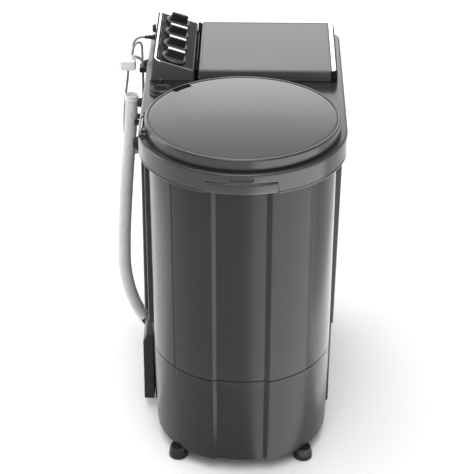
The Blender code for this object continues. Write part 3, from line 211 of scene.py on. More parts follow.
# Deep-drawn stainless: fine lines run round the basket.
STAINLESS = finish(
    "drawn_stainless", "b9babc", 0.26, grain=0.0012, relief=0.05, metal=1.0, stretch=(0.4, 0.4, 6), wear_and_edge_highlight=0.05
)
ZINC = finish("zinc_plated_steel", "c3c5c6", 0.34, grain=0.0008, relief=0.05, metal=1.0)
CAST = finish("painted_casting", "63666a", 0.55, grain=0.0018, relief=0.14)
# Black rubber for the grommet, buffers, boot and belt; the same finish is painted into holes, slots and the
# filter's net window as painted shade.
RUBBER_AND_PAINTED_SHADE = finish("moulded_rubber_and_painted_shade", "161616", 0.78, grain=0.0014, relief=0.12, wear_and_edge_highlight=0.06)
# Blow-moulded polyethylene: milky, light grey.
PE_HOSE = finish("polyethylene_hose", "c6c6c4", 0.42, grain=0.003, relief=0.04, glow=0.12, wear_and_edge_highlight=0.12)
PVC_CORD = finish("pvc_sheath_grey", "7c7c7b", 0.50, grain=0.0016, relief=0.05, wear_and_edge_highlight=0.04)
PVC_PLUG = finish("pvc_plug_pale", "dcdcda", 0.38, grain=0.0016, relief=0.05, glow=0.05, wear_and_edge_highlight=0.04)
NICKEL = finish("nickel_plated_brass", "d2cfc6", 0.18, grain=0.0010, relief=0.02, metal=1.0)


# ------------------------------------------------------------------ making pieces
def put(shape, matrix):
    bmesh.ops.transform(shape, matrix=matrix, verts=shape.verts)
    return shape


def turned(profile, steps=96, closed=False):
    """A profile of radius and height spun about Z. A closed profile joins its last point to its first."""
    shape = bmesh.new()
    points = [shape.verts.new((r, 0, z)) for r, z in profile]
    lines = joined(shape, points, closed)
    bmesh.ops.spin(
        shape, geom=points + lines, cent=(0, 0, 0), axis=UP, angle=2 * math.pi, steps=steps,
        use_merge=True,
    )
    bmesh.ops.remove_doubles(shape, verts=shape.verts, dist=1e-6)
    bmesh.ops.recalc_face_normals(shape, faces=shape.faces)
    return shape


def block(low, high, edge=0.0, segments=2):
    shape = bmesh.new()
    bmesh.ops.create_cube(shape, size=1.0)
    low, high = Vector(low), Vector(high)
    bmesh.ops.scale(shape, vec=high - low, verts=shape.verts)
    bmesh.ops.translate(shape, vec=(low + high) / 2, verts=shape.verts)
    if edge:
        rounded(shape, shape.edges[:], edge, segments)
    return shape


def rounded(shape, edges, width, segments=2):
    bmesh.ops.bevel(
        shape, geom=edges, offset=width, offset_type="OFFSET", affect="EDGES",
        segments=segments, profile=0.5, material=-1, clamp_overlap=True,
    )
    return shape


def rod(start, end, radius, sides=24, radius_end=None, edge=0.0):
    start, end = Vector(start), Vector(end)
    shape = bmesh.new()
    bmesh.ops.create_cone(
        shape, cap_ends=True, segments=sides, radius1=radius,
        radius2=radius if radius_end is None else radius_end, depth=(end - start).length,
    )
    if edge:
        rims = [e for e in shape.edges if e.calc_face_angle(0) > math.radians(60)]
        rounded(shape, rims, edge)
    turn = UP.rotation_difference(end - start).to_matrix()
    bmesh.ops.rotate(shape, cent=(0, 0, 0), matrix=turn, verts=shape.verts)
    bmesh.ops.translate(shape, vec=(start + end) / 2, verts=shape.verts)
    return shape


def slab(outline, z0, z1, edge=0.0, segments=2):
    """A flat outline raised from z0 to z1, with its rims eased."""
    shape = bmesh.new()
    face = shape.faces.new([shape.verts.new((x, y, z0)) for x, y in outline])
    grown = bmesh.ops.extrude_face_region(shape, geom=[face])["geom"]
    bmesh.ops.translate(
        shape, vec=(0, 0, z1 - z0), verts=[g for g in grown if isinstance(g, bmesh.types.BMVert)]
    )
    bmesh.ops.recalc_face_normals(shape, faces=shape.faces)
    if edge:
        rims = [e for e in shape.edges if abs(e.verts[0].co.z - e.verts[1].co.z) < 1e-7]
        rounded(shape, rims, edge, segments)
    return shape


def walls(levels, closed_top=False, closed_bottom=False):
    """An outline drawn up through (z, outline) levels with the same number of points."""
    shape = bmesh.new()
    z, outline = levels[0]
    ring = [shape.verts.new((x, y, z)) for x, y in outline]
    edges = joined(shape, ring)
    first = ring
    for z, outline in levels[1:]:
        fresh, edges = extruded(shape, edges)
        ring = [next(e.other_vert(v) for e in v.link_edges if e.other_vert(v) in fresh) for v in ring]
        for v, (x, y) in zip(ring, outline):
            v.co = (x, y, z)
    if closed_top:
        shape.faces.new(ring)
    if closed_bottom:
        shape.faces.new(first[::-1])
    bmesh.ops.recalc_face_normals(shape, faces=shape.faces)
    return shape


def moved(shape, place):
    return put(shape, Matrix.Translation(place))


def about_z(shape, turn):
    return put(shape, Matrix.Rotation(turn, 4, "Z"))


def at(shape, dx, dy):
    """Moved to a place counted from the wash axis."""
    return moved(shape, spot(dx, dy, 0))


def settled(parts, dx=0, dy=0):
    """Every shape of a piece's parts, moved to a place counted from the wash axis."""
    for shape, *_ in parts:
        at(shape, dx, dy)
    return parts


def pointing_back(dx, dy, z):
    """Lays a shape that stands on Z down at a place, its top towards the rear."""
    return Matrix.Translation(spot(dx, dy, z)) @ Matrix.Rotation(-math.pi / 2, 4, "X")


def joined(shape, points, closed=True):
    """Edges through the points in turn, and back to the first if closed."""
    ends = [*points[1:], points[0]] if closed else points[1:]
    return [shape.edges.new(pair) for pair in zip(points, ends)]


def bridged(shape, rings):
    """Fills the walls between each ring of edges and the next."""
    for first, second in zip(rings, rings[1:]):
        bmesh.ops.bridge_loops(shape, edges=[*first, *second])
    bmesh.ops.recalc_face_normals(shape, faces=shape.faces)
    return shape


def extruded(shape, edges):
    """Extrudes edges where they are. Gives the new vertices and the new edges between them."""
    grown = bmesh.ops.extrude_edge_only(shape, edges=edges)["geom"]
    fresh = {g for g in grown if isinstance(g, bmesh.types.BMVert)}
    return fresh, [g for g in grown if isinstance(g, bmesh.types.BMEdge) and set(g.verts) <= fresh]


def fill_between(shape, edges):
    bmesh.ops.triangle_fill(shape, use_beauty=True, use_dissolve=False, edges=edges)


def piece(name, parts, body=BODY, replaces=(), wall=0.0, sharp=32):
    """One piece from (shape, finish) pairs. It rides on a body and stands for the nodes it replaces.

    A third entry in a pair is the finish of the shape's tagged faces.
    """
    whole = bmesh.new()
    finishes = []
    for shape, look, *marked in parts:
        for each in (look, *marked):
            if each not in finishes:
                finishes.append(each)
        for face in shape.faces:
            face.material_index = finishes.index(marked[0] if marked and face.tag else look)
        mesh = bpy.data.meshes.new("part")
        shape.to_mesh(mesh)
        shape.free()
        whole.from_mesh(mesh)
        bpy.data.meshes.remove(mesh)
    mesh = bpy.data.meshes.new(name)
    whole.to_mesh(mesh)
    whole.free()
    mesh.shade_smooth()
    mesh.set_sharp_from_angle(angle=math.radians(sharp))
    made = bpy.data.objects.new(name, mesh)
    bpy.context.scene.collection.objects.link(made)
    for look in finishes:
        mesh.materials.append(look)
    if wall:
        skin = made.modifiers.new("wall", "SOLIDIFY")
        skin.thickness = wall
        skin.offset = -1
        skin.use_even_offset = True
    flats = made.modifiers.new("flats", "WEIGHTED_NORMAL")
    flats.keep_sharp = True
    flats.weight = 100
    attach(made, body)
    if replaces:
        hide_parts(*replaces)
    return made


def arc(middle, radius, start, end, count):
    """Points on an arc, angles in degrees, both ends included."""
    turns = [math.radians(start + (end - start) * i / (count - 1)) for i in range(count)]
    return [(middle[0] + radius * math.cos(a), middle[1] + radius * math.sin(a)) for a in turns]


def soft_box(x0, x1, y0, y1, corner, count=6):
    return [
        *arc((x0 + corner, y1 - corner), corner, 90, 180, count),
        *arc((x0 + corner, y0 + corner), corner, 180, 270, count),
        *arc((x1 - corner, y0 + corner), corner, 270, 360, count),
        *arc((x1 - corner, y1 - corner), corner, 0, 90, count),
    ]


def smooth_line(points, step):
    """Points about a step apart on a smooth curve through the given points."""
    line = [Vector(p) for p in points]
    ends = [2 * line[0] - line[1], *line, 2 * line[-1] - line[-2]]
    found = []
    for i in range(1, len(ends) - 2):
        before, here, there, after = ends[i - 1 : i + 3]
        count = max(1, round((there - here).length / step))
        for k in range(count):
            t = k / count
            found.append(
                0.5
                * (
                    2 * here
                    + (there - before) * t
                    + (2 * before - 5 * here + 4 * there - after) * t**2
                    + (3 * here - before - 3 * there + after) * t**3
                )
            )
    return [*found, line[-1]]


def even_line(points, step):
    """The same smooth curve, its points an equal distance apart."""
    dense = smooth_line(points, step / 6)
    runs = [(b - a).length for a, b in zip(dense, dense[1:])]
    count = round(sum(runs) / step)
    pace = sum(runs) / count
    found, gone = [dense[0]], 0.0
    for start, end, run in zip(dense, dense[1:], runs):
        while gone + run >= pace * len(found) - 1e-9 and len(found) < count:
            found.append(start.lerp(end, (pace * len(found) - gone) / run))
        gone += run
    return [*found, dense[-1]]


def length_of(line):
    return sum((b - a).length for a, b in zip(line, line[1:]))


def laid_along(shape, line):
    """Bends a shape that stands on Z from 0 to the line's length so that it follows the line."""
    tangents = [
        (line[min(i + 1, len(line) - 1)] - line[max(i - 1, 0)]).normalized() for i in range(len(line))
    ]
    side = tangents[0].orthogonal().normalized()
    frames = []
    for i, along in enumerate(tangents):
        if i:
            side = (tangents[i - 1].rotation_difference(along) @ side).normalized()
        frames.append((side, along.cross(side)))
    pace = length_of(line) / (len(line) - 1)
    for v in shape.verts:
        i = min(max(int(v.co.z / pace), 0), len(line) - 2)
        t = min(max(v.co.z / pace - i, 0.0), 1.0)
        first, second = (frames[i][k].lerp(frames[i + 1][k], t).normalized() for k in (0, 1))
        v.co = line[i].lerp(line[i + 1], t) + first * v.co.x + second * v.co.y
    bmesh.ops.recalc_face_normals(shape, faces=shape.faces)
    return shape


# ------------------------------------------------------------------ camera
LENS_MM = 136.1
CAMERA_AT = spot(-3.5273, -0.0311, 2.4786)
PITCH, YAW, ROLL = 0.5087, 0.0122, 0.0039

ahead = Vector((math.cos(PITCH) * math.cos(YAW), math.cos(PITCH) * math.sin(YAW), -math.sin(PITCH)))
level = Vector((math.sin(YAW), -math.cos(YAW), 0))
upright = level.cross(ahead)
right = level * math.cos(ROLL) + upright * math.sin(ROLL)
top = upright * math.cos(ROLL) - level * math.sin(ROLL)
lens = bpy.data.cameras.new("camera")
lens.lens = LENS_MM
lens.sensor_width = 36
lens.clip_end = 60
camera = bpy.data.objects.new("camera", lens)
turn = Matrix((right, top, -ahead)).transposed().to_4x4()
camera.matrix_world = Matrix.Translation(CAMERA_AT) @ turn
bpy.context.scene.collection.objects.link(camera)
bpy.context.scene.camera = camera

# ------------------------------------------------------------------ power cord and drain hose
# the routes count x from the wash axis, y from the top cover's rear edge and z from the floor
REAR_EDGE = HALF
CORD_D = 0.0055
CORD_X = 0.418
RELIEF_LONG = 0.024
relief_low, relief_high = own_box("strain_relief")
CORD_EXIT_Z = (relief_low.z + relief_high.z) / 2
HANK_TURNS = 3
HANK_FIRST_X = 0.4236
HANK_PITCH = 0.0057


def rear(dx, dy, z):
    return spot(dx, REAR_EDGE + dy, z)


def cord_points():
    """Out of the strain relief, down into the hank, three times round it, and over into the plug."""
    start = relief_high.y - REAR_EDGE
    bend = 4.4 * CORD_D
    out = start + 0.004
    points = [rear(CORD_X, start, CORD_EXIT_Z)]
    for dy, z in arc((out, CORD_EXIT_Z - bend), bend, 90, 12, 9):
        points.append(rear(CORD_X + 0.1 * (dy - out), dy, z))
    points += [rear(0.4215, out + bend + 0.0008, 0.7840), rear(0.4236, 0.0437, 0.7600)]
    fold = 0.0175
    loop = [
        (0.0509, 0.7350), (0.0534, 0.7100), (0.0574, 0.6800), (0.0610, 0.6450), (0.0632, 0.6100),
        (0.0640, 0.5800),
        (0.0638, 0.5560), *arc((0.0400, 0.5402), 0.0238, -8, -172, 11), (0.0157, 0.5560), (0.0155, 0.6000),
        (0.0157, 0.6500), (0.0158, 0.7000), (0.0155, 0.7350), *arc((0.0155 + fold, 0.7515), fold, 180, 0, 10),
    ]
    for lap in range(HANK_TURNS):
        for i, (dy, z) in enumerate(loop):
            if lap == HANK_TURNS - 1 and i > len(loop) - 10:
                break
            points.append(rear(HANK_FIRST_X - HANK_PITCH * (lap + i / len(loop)), dy, z))
    low = rear(0.4066, 0.0155, 0.7958)
    neck = rear(0.3680, 0.0365, 0.7958)
    points += [rear(0.4070, 0.0155, 0.7700), low]
    middle, reach = (low + neck) / 2, (low - neck).length / 2
    for turn in range(20, 180, 20):
        swing = math.radians(turn)
        points.append(middle + (low - middle) * math.cos(swing) + UP * reach * math.sin(swing))
    return [*points, neck]


def make_flex():
    line = even_line(cord_points(), 0.006)
    curve = bpy.data.curves.new("power_flex", "CURVE")
    curve.dimensions = "3D"
    curve.resolution_u = 2
    curve.bevel_depth = CORD_D / 2
    curve.bevel_resolution = 4
    curve.use_fill_caps = True
    run = curve.splines.new("POLY")
    run.points.add(len(line) - 1)
    for stop, place in zip(run.points, line):
        stop.co = (*place, 1)
    flex = bpy.data.objects.new("power_flex", curve)
    bpy.context.scene.collection.objects.link(flex)
    curve.materials.append(PVC_CORD)
    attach(flex, BODY)
    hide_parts("power_cord", "cord_hank", "plug_tail")
    return flex, line


def make_relief():
    """The bent-cord grommet: a flange on the control box and a ribbed, tapering boot."""
    y = relief_high.y - RELIEF_LONG
    boot = [(0, RELIEF_LONG), (CORD_D / 2 + 0.0007, RELIEF_LONG)]
    ribs = 5
    for i in range(ribs):
        z = RELIEF_LONG - 0.002 - i * 0.0038
        r = CORD_D / 2 + 0.0009 + 0.0022 * (i + 1) / ribs
        boot += [(r, z), (r, z - 0.0020), (r - 0.0007, z - 0.0022), (r - 0.0007, z - 0.0036)]
    boot += [(0.0074, 0.0022), (0.0078, 0.0016), (0.0078, 0.0), (0.0045, 0.0), (0.0045, -0.006), (0, -0.006)]
    shape = turned(boot, 32)
    put(shape, pointing_back(CORD_X, y, CORD_EXIT_Z))
    return piece("cord_grommet", [(shape, RUBBER_AND_PAINTED_SHADE)], replaces=["strain_relief"])


def make_plug():
    """A right-angled two-pin plug with finger ridges, its neck towards the cord."""
    low, high = own_box("plug")
    x = (low.x + high.x) / 2
    wide, tall = 0.0145, 0.012
    z = low.z + tall
    y0 = low.y
    y1 = y0 + 0.038
    y = (y0 + y1) / 2
    outline = soft_box(x - wide, x + wide, y0, y1, 0.0055)
    shapes = [(slab(outline, z - tall, z + tall, 0.0028, 4), PVC_PLUG)]
    for i in range(3):
        dy = y0 + 0.008 + i * 0.0042
        ridge = block((x - wide - 0.0005, dy, z - 0.006), (x + wide + 0.0005, dy + 0.0018, z + 0.006), 0.0006)
        shapes.append((ridge, PVC_PLUG))
    neck = [(0.0065, 0.0), (0.0062, 0.004), (0.0056, 0.0045), (0.0056, 0.006), (0.0054, 0.0065),
            (0.0048, 0.0070), (0.0048, 0.0090), (0.0044, 0.0095), (0.0040, 0.0138), (0, 0.0138)]
    shapes.append((moved(turned(neck, 28), (x, y - 0.011, z + tall - 0.0018)), PVC_PLUG))
    for side in (-1, 1):
        px = x + side * 0.0065
        shapes.append((rod((px, y1 - 0.002, z), (px, y1 + 0.0045, z), 0.0026, 20, edge=0.0004), PVC_PLUG))
        shapes.append((rod((px, y1 + 0.004, z), (px, high.y, z), 0.0024, 20, edge=0.0009), NICKEL))
    return piece("mains_plug", settled(shapes), replaces=["plug"])


HOSE_X = 0.200
HOSE_R = 0.015
HOSE_ROUTE = [
    (0.0118, 0.1761), (0.0225, 0.1946), (0.0355, 0.2250), (0.0470, 0.2660), (0.0545, 0.3200),
    (0.0540, 0.3900), (0.0505, 0.4600), (0.0455, 0.5300), (0.0400, 0.6000), (0.0345, 0.6600),
    (0.0305, 0.7100), (0.0280, 0.7560),
]
RIB_PITCH = 0.0050
RIB_DEEP = 0.0011


def make_hose():
    """The corrugated drain hose, smooth for a thumb's width at each end."""
    line = even_line([rear(HOSE_X, dy, z) for dy, z in HOSE_ROUTE], 0.004)
    long = length_of(line)
    cuff = 0.018
    profile = [(0, 0), (HOSE_R - 0.0012, 0), (HOSE_R - 0.0006, 0.0006), (HOSE_R - 0.0006, cuff)]
    z = cuff
    while z + RIB_PITCH < long - cuff:
        for share, out in ((0.18, 0.0), (0.32, 1.0), (0.50, 1.15), (0.68, 1.0), (0.82, 0.0)):
            profile.append((HOSE_R - 0.0011 + RIB_DEEP * out, z + share * RIB_PITCH))
        z += RIB_PITCH
    profile += [
        (HOSE_R - 0.0006, long - cuff), (HOSE_R - 0.0006, long - 0.0006), (HOSE_R - 0.0012, long), (0, long),
    ]
    shape = laid_along(turned(profile, 26), line)
    hose = piece(
        "drain_hose_ribbed", [(shape, PE_HOSE)], replaces=["drain_hose"], sharp=60
    )
    return hose, line


def make_hose_cuff():
    """The hose's free end: a tapered nozzle with a collar and an open mouth."""
    start = rear(HOSE_X, *HOSE_ROUTE[-1])
    before = rear(HOSE_X, *HOSE_ROUTE[-2])
    lean = (start - before).normalized()
    r = HOSE_R
    long = 0.0138
    profile = [
        (r - 0.0030, 0.0), (r + 0.0006, 0.0), (r + 0.0012, 0.0006), (r + 0.0012, 0.0048), (r + 0.0004, 0.0056),
        (r + 0.0004, long - 0.0012), (r - 0.0002, long), (r - 0.0016, long), (r - 0.0022, long - 0.001),
        (r - 0.0026, 0.003),
    ]
    shape = turned(profile, 40, closed=True)
    put(shape, Matrix.Translation(start + lean * 0.0003) @ UP.rotation_difference(lean).to_matrix().to_4x4())
    return piece("hose_nozzle", [(shape, PE_HOSE)], replaces=["hose_cuff"], sharp=40)


flex, flex_line = make_flex()
grommet = make_relief()
mains_plug = make_plug()
hose, hose_line = make_hose()
nozzle = make_hose_cuff()

# ------------------------------------------------------------------ base and cabinet
SHOULDER_X = 0.056
RECESS_DEEP = 0.007
RECESS_IN = 15.6
RECESS_OUT = 18.6
GROOVE_AT = 47.0
GROOVE_HALF = 1.1
STEP_AT = 78.0
FRONT_GROOVES = (0.190, 0.400)
# degrees off the nose where the round end has points: close together at the recess, grooves and steps
BENDS = sorted(
    {0, 5, 10, 14, 15.2, 15.6, 16.2, 17.1, 18.0, 18.6, 19.2, 21, 25, 29, 33, 37, 41, 45, 45.9, 46.3, 46.7,
     47, 47.3, 47.7, 48.1, 49, 52, 56, 60, 64, 68, 72, 76, 77.6, 78, 78.4, 82, 86, 90, 94, 98, 102}
)


def round_end(radius, off, deep, grooved):
    """The round end's radius, in degrees off its nose."""
    off = abs(off)
    if off < RECESS_OUT:
        rise = min(1.0, max(0.0, (off - RECESS_IN) / (RECESS_OUT - RECESS_IN)))
        return radius - deep * (1 - rise * rise * (3 - 2 * rise))
    if abs(off - GROOVE_AT) < GROOVE_HALF:
        return radius - grooved * (1 - ((off - GROOVE_AT) / GROOVE_HALF) ** 2)
    return radius - (0.0007 if grooved and off >= STEP_AT else 0.0)


def body_outline(radius, front, back, inset, deep=RECESS_DEEP, grooved=0.0015):
    """Round end with its recess and grooves, a shoulder on each side, straight walls and a square far end."""
    far = FAR_X - 0.006 - inset
    corner = 0.039
    shoulder = 180 - math.degrees(math.acos(SHOULDER_X / radius))
    line = [(SHOULDER_X + 0.004, back), (SHOULDER_X + 0.001, back - 0.0015), (SHOULDER_X, back - 0.004)]
    for off in [shoulder, *reversed(BENDS), *[-off for off in BENDS[1:]], -shoulder]:
        r = round_end(radius, off, deep, grooved)
        turn = math.radians(180 - off)
        line.append((r * math.cos(turn), r * math.sin(turn)))
    line += [(SHOULDER_X, 0.004 - front), (SHOULDER_X + 0.001, 0.0015 - front), (SHOULDER_X + 0.004, -front)]
    for x in FRONT_GROOVES:
        line += [(x - 0.004, -front), (x - 0.0025, 0.0012 - front), (x, 0.0016 - front),
                 (x + 0.0025, 0.0012 - front), (x + 0.004, -front)]
    line += arc((far - corner, corner - front), corner, 270, 360, 9)
    line += arc((far - corner, back - corner), corner, 0, 90, 9)
    return line


def between(low, high, share):
    return low + (high - low) * share


base_low, base_high = own_box("base")
cabinet_low, cabinet_high = own_box("cabinet")
BASE_TOP = base_high.z
CABINET_FOOT = cabinet_low.z
CABINET_TOP = cabinet_high.z
CABINET_FOOT_R, CABINET_TOP_R = HALF - 0.0253, HALF - 0.0212
PANEL_LINE_Z = 0.226
CABINET_WALL = 0.0025


def cabinet_level(z, ease=0.0):
    share = (z - CABINET_FOOT) / (CABINET_TOP - CABINET_FOOT)
    return z, body_outline(
        between(CABINET_FOOT_R, CABINET_TOP_R, share) - ease,
        between(HALF - 0.0143, HALF - 0.0042, share) - ease,
        between(HALF - 0.0085, HALF - 0.0060, share) - ease,
        between(0.003, 0.0, share) + ease,
    )


def base_level(z, ease=0.0):
    share = (z - base_low.z) / (BASE_TOP - base_low.z)
    side = between(HALF - 0.0215, HALF - 0.0180, share) - ease
    below = z < PANEL_LINE_Z
    return z, body_outline(
        between(HALF - 0.0305, CABINET_FOOT_R, share) - ease, side, side,
        between(0.006, 0.003, share) + ease, RECESS_DEEP + (0.0016 if below else 0.0), 0.0 if below else 0.0007,
    )


def make_cabinet_skin():
    levels = [cabinet_level(CABINET_FOOT, 0.0012), cabinet_level(CABINET_FOOT + 0.0012)]
    levels += [cabinet_level(z) for z in (0.36, 0.48, 0.60, 0.70, CABINET_TOP)]
    return piece(
        "cabinet_skin", [(at(walls(levels), 0, 0), ABS_BODY)], replaces=["cabinet"],
        wall=CABINET_WALL, sharp=24,
    )


def make_base_skin():
    low = base_low.z
    levels = [base_level(low, 0.0060), base_level(low + 0.0010, 0.0030), base_level(low + 0.0035, 0.0008),
              base_level(low + 0.0070)]
    line = (PANEL_LINE_Z - 0.0006, PANEL_LINE_Z + 0.0006)
    levels += [base_level(z) for z in (0.10, 0.16, *line, BASE_TOP - 0.0012)]
    levels += [base_level(BASE_TOP, 0.0012)]
    shape = walls(levels, closed_bottom=True)
    return piece(
        "base_skin", [(at(shape, 0, 0), ABS_BASE)], replaces=["base"], wall=0.003, sharp=24
    )


make_cabinet_skin()
make_base_skin()

# ------------------------------------------------------------------ top cover
WASH_MOUTH_R = 0.1852
SPIN_MOUTH_R = 0.525 * HALF
FUNNEL_AT = (0.1920, HALF - 0.0415)
SPIN_AT = (own_box("spin_basket")[0] + own_box("spin_basket")[1]) / 2
HANDLE_OFF = 19.56
SLOT_OFF = 6.28
HANDLE_TOP_Z = DECK_TOP - 0.0207
SLOT_Z = (DECK_TOP - 0.0165, DECK_TOP - 0.0075)


def deck_outline(inset):
    corner = 0.045
    offs = sorted({*range(-90, 91, 3), -HANDLE_OFF, HANDLE_OFF, -SLOT_OFF, SLOT_OFF}, reverse=True)
    line = []
    for off in offs:
        turn = math.radians(180 - off)
        line.append(((HALF - inset) * math.cos(turn), (HALF - inset) * math.sin(turn)))
    for x in (0.10, 0.20, 0.30, 0.40):
        line.append((x, inset - HALF))
    line += arc((FAR_X - corner, corner - HALF), corner - inset, 270, 360, 9)
    line += arc((FAR_X - corner, HALF - corner), corner - inset, 0, 90, 9)
    for x in (0.40, 0.30, 0.20, 0.10):
        line.append((x, HALF - inset))
    return line


def ring_of(shape, middle, radius, z, count):
    """A closed loop of edges."""
    points = [
        shape.verts.new((middle[0] + radius * math.cos(t), middle[1] + radius * math.sin(t), z))
        for t in [2 * math.pi * i / count for i in range(count)]
    ]
    return joined(shape, points)


def drawn(shape, edges, middle, steps):
    """Draws a round opening's edges through (radius, height) steps."""
    for radius, z in steps:
        fresh, edges = extruded(shape, edges)
        for v in fresh:
            out = Vector((v.co.x - middle[0], v.co.y - middle[1], 0)).normalized()
            v.co = (middle[0] + out.x * radius, middle[1] + out.y * radius, z)


def off_nose(face):
    """Degrees off the nose of a face of the round end."""
    middle = face.calc_center_median()
    return abs(math.degrees(math.atan2(middle.y, -middle.x)))


def make_deck():
    lip = SKIRT_Z
    levels = [
        (lip, 0.0006), (lip + 0.0008, 0.0), (lip + 0.0042, 0.0), (lip + 0.0046, 0.0011), (lip + 0.0068, 0.0011),
        (lip + 0.0072, 0.0), (lip + 0.015, 0.0), (HANDLE_TOP_Z, 0.0), (SLOT_Z[0], 0.0), (SLOT_Z[1], 0.0),
        (DECK_TOP - 0.0042, 0.0),
        (DECK_TOP - 0.0024, 0.0004), (DECK_TOP - 0.0010, 0.0014), (DECK_TOP - 0.0003, 0.0028),
        (DECK_TOP, 0.0046),
    ]
    shape = walls([(z, deck_outline(inset)) for z, inset in levels])
    rim = [e for e in shape.edges if e.is_boundary and e.verts[0].co.z > DECK_TOP - 1e-5]
    wash = ring_of(shape, (0, 0), WASH_MOUTH_R + 0.0065, DECK_TOP, 96)
    spin = ring_of(shape, SPIN_AT, SPIN_MOUTH_R + 0.0045, DECK_TOP, 64)
    funnel = ring_of(shape, FUNNEL_AT, 0.0195, DECK_TOP, 32)
    fill_between(shape, [*rim, *wash, *spin, *funnel])
    high = DECK_TOP + 0.0085
    drawn(shape, wash, (0, 0), [
        (WASH_MOUTH_R + 0.0050, DECK_TOP + 0.0008), (WASH_MOUTH_R + 0.0040, high - 0.0015),
        (WASH_MOUTH_R + 0.0028, high), (WASH_MOUTH_R + 0.0012, high), (WASH_MOUTH_R, high - 0.0012),
        (WASH_MOUTH_R, DECK_TOP - 0.0028),
    ])
    drawn(shape, spin, SPIN_AT, [
        (SPIN_MOUTH_R + 0.0036, DECK_TOP + 0.0008), (SPIN_MOUTH_R + 0.0030, high - 0.0030),
        (SPIN_MOUTH_R + 0.0018, high - 0.0015), (SPIN_MOUTH_R + 0.0008, high - 0.0018),
        (SPIN_MOUTH_R, high - 0.0035), (SPIN_MOUTH_R, DECK_TOP - 0.0028),
    ])
    drawn(shape, funnel, FUNNEL_AT, [(0.0190, DECK_TOP - 0.0006), (0.0190, DECK_TOP - 0.0028)])
    bmesh.ops.recalc_face_normals(shape, faces=shape.faces)

    def side_faces(off, low, high):
        """The round end's faces within some degrees of its nose, between two heights."""
        found = []
        for face in shape.faces:
            middle = face.calc_center_median()
            if middle.x < -0.15 and off_nose(face) < off and low < middle.z < high:
                found.append(face)
        return found

    bmesh.ops.delete(shape, geom=side_faces(HANDLE_OFF, 0.0, HANDLE_TOP_Z), context="FACES")
    slot = side_faces(SLOT_OFF, *SLOT_Z)
    bmesh.ops.inset_region(shape, faces=slot, thickness=0.0006, depth=-0.0024, use_even_offset=True)
    return piece(
        "deck", [(at(shape, 0, 0), ABS_DECK)], replaces=["top_cover"],
        wall=0.0028, sharp=28
    )


make_deck()


def make_hinge_lugs():
    """Two lugs on a foot for each lid's pin, and a near-black strip behind the spinner lid, painted shade for
    the gap there.
    """
    parts = []
    for node_name, half, spread, look in (
        ("wash_lid_pin", 0.003, 0.0045, ABS_DECK), ("spin_lid_pin", 0.0025, 0.0045, ACETAL_AND_PAINTED_SHADE)
    ):
        low, high = own_box(node_name)
        y, z = (low.y + high.y) / 2, (low.z + high.z) / 2
        for x in (low.x + spread + 0.0005, high.x - spread - 0.0005):
            lug = block((x - half, y - 0.004, DECK_TOP - 0.001), (x + half, y + 0.004, z), 0.0006)
            parts.append((lug, look))
            parts.append((rod((x - half, y, z), (x + half, y, z), 0.004, 24, edge=0.0006), look))
            foot = [(x - half - 0.002, y - 0.007), (x + half + 0.002, y - 0.007),
                    (x + half + 0.002, y + 0.0065), (x - half - 0.002, y + 0.0065)]
            parts.append((slab(foot, DECK_TOP - 0.001, DECK_TOP + 0.0012, 0.0008), look))
    # The strip lies on the deck between the spinner lid and the control box: painted shade for the gap.
    low, high = own_box("spin_lid_pin")
    front = own_box("spin_lid")[1].y - 0.0080
    strip = block((low.x, front, DECK_TOP - 0.0006), (high.x, HALF - 0.1130, DECK_TOP + 0.0010), 0.0004)
    parts.append((strip, ACETAL_AND_PAINTED_SHADE))
    return piece("hinge_lugs", settled(parts))


def make_carry_handle():
    """The grip across the hand recess, its ends turned down into the cover."""
    low, high = own_box("carry_handle")
    outer = -low.x
    reach = math.degrees(math.asin(high.y / outer))
    z0, z1 = low.z, high.z
    offs = [reach - 2 * reach * i / 20 for i in range(21)]
    section = [
        (outer - 0.0065, z0 + 0.0010), (outer - 0.0055, z0), (outer - 0.0030, z0),
        (outer - 0.0012, z0 + 0.0012),
        (outer - 0.0002, z0 + 0.0045), (outer, z0 + 0.0100), (outer - 0.0002, z1 - 0.0050),
        (outer - 0.0010, z1 - 0.0018), (outer - 0.0030, z1 - 0.0003), (outer - 0.0045, z1),
        (outer - 0.0065, z1),
    ]
    shape = bmesh.new()
    loops = []
    for off in offs:
        turn = math.radians(180 - off)
        points = [shape.verts.new((r * math.cos(turn), r * math.sin(turn), z)) for r, z in section]
        loops.append(joined(shape, points))
        if off in (offs[0], offs[-1]):
            shape.faces.new(points)
    parts = [(at(bridged(shape, loops), 0, 0), ABS_DECK)]
    return piece("carry_grip", parts, replaces=["carry_handle"], sharp=50)


make_hinge_lugs()
make_carry_handle()

# ------------------------------------------------------------------ wash lid
ring_low, ring_high = own_box("wash_lid_ring")
LID_TOP = ring_high.z
LID_FOOT = DECK_TOP + 0.0015
WASH_LID_R = -ring_low.x
PANEL_R = own_box("wash_lid_panel")[1].x
NOTCH_ANGLE = 43.5
NOTCH_HALF_ANGLE = 6.6


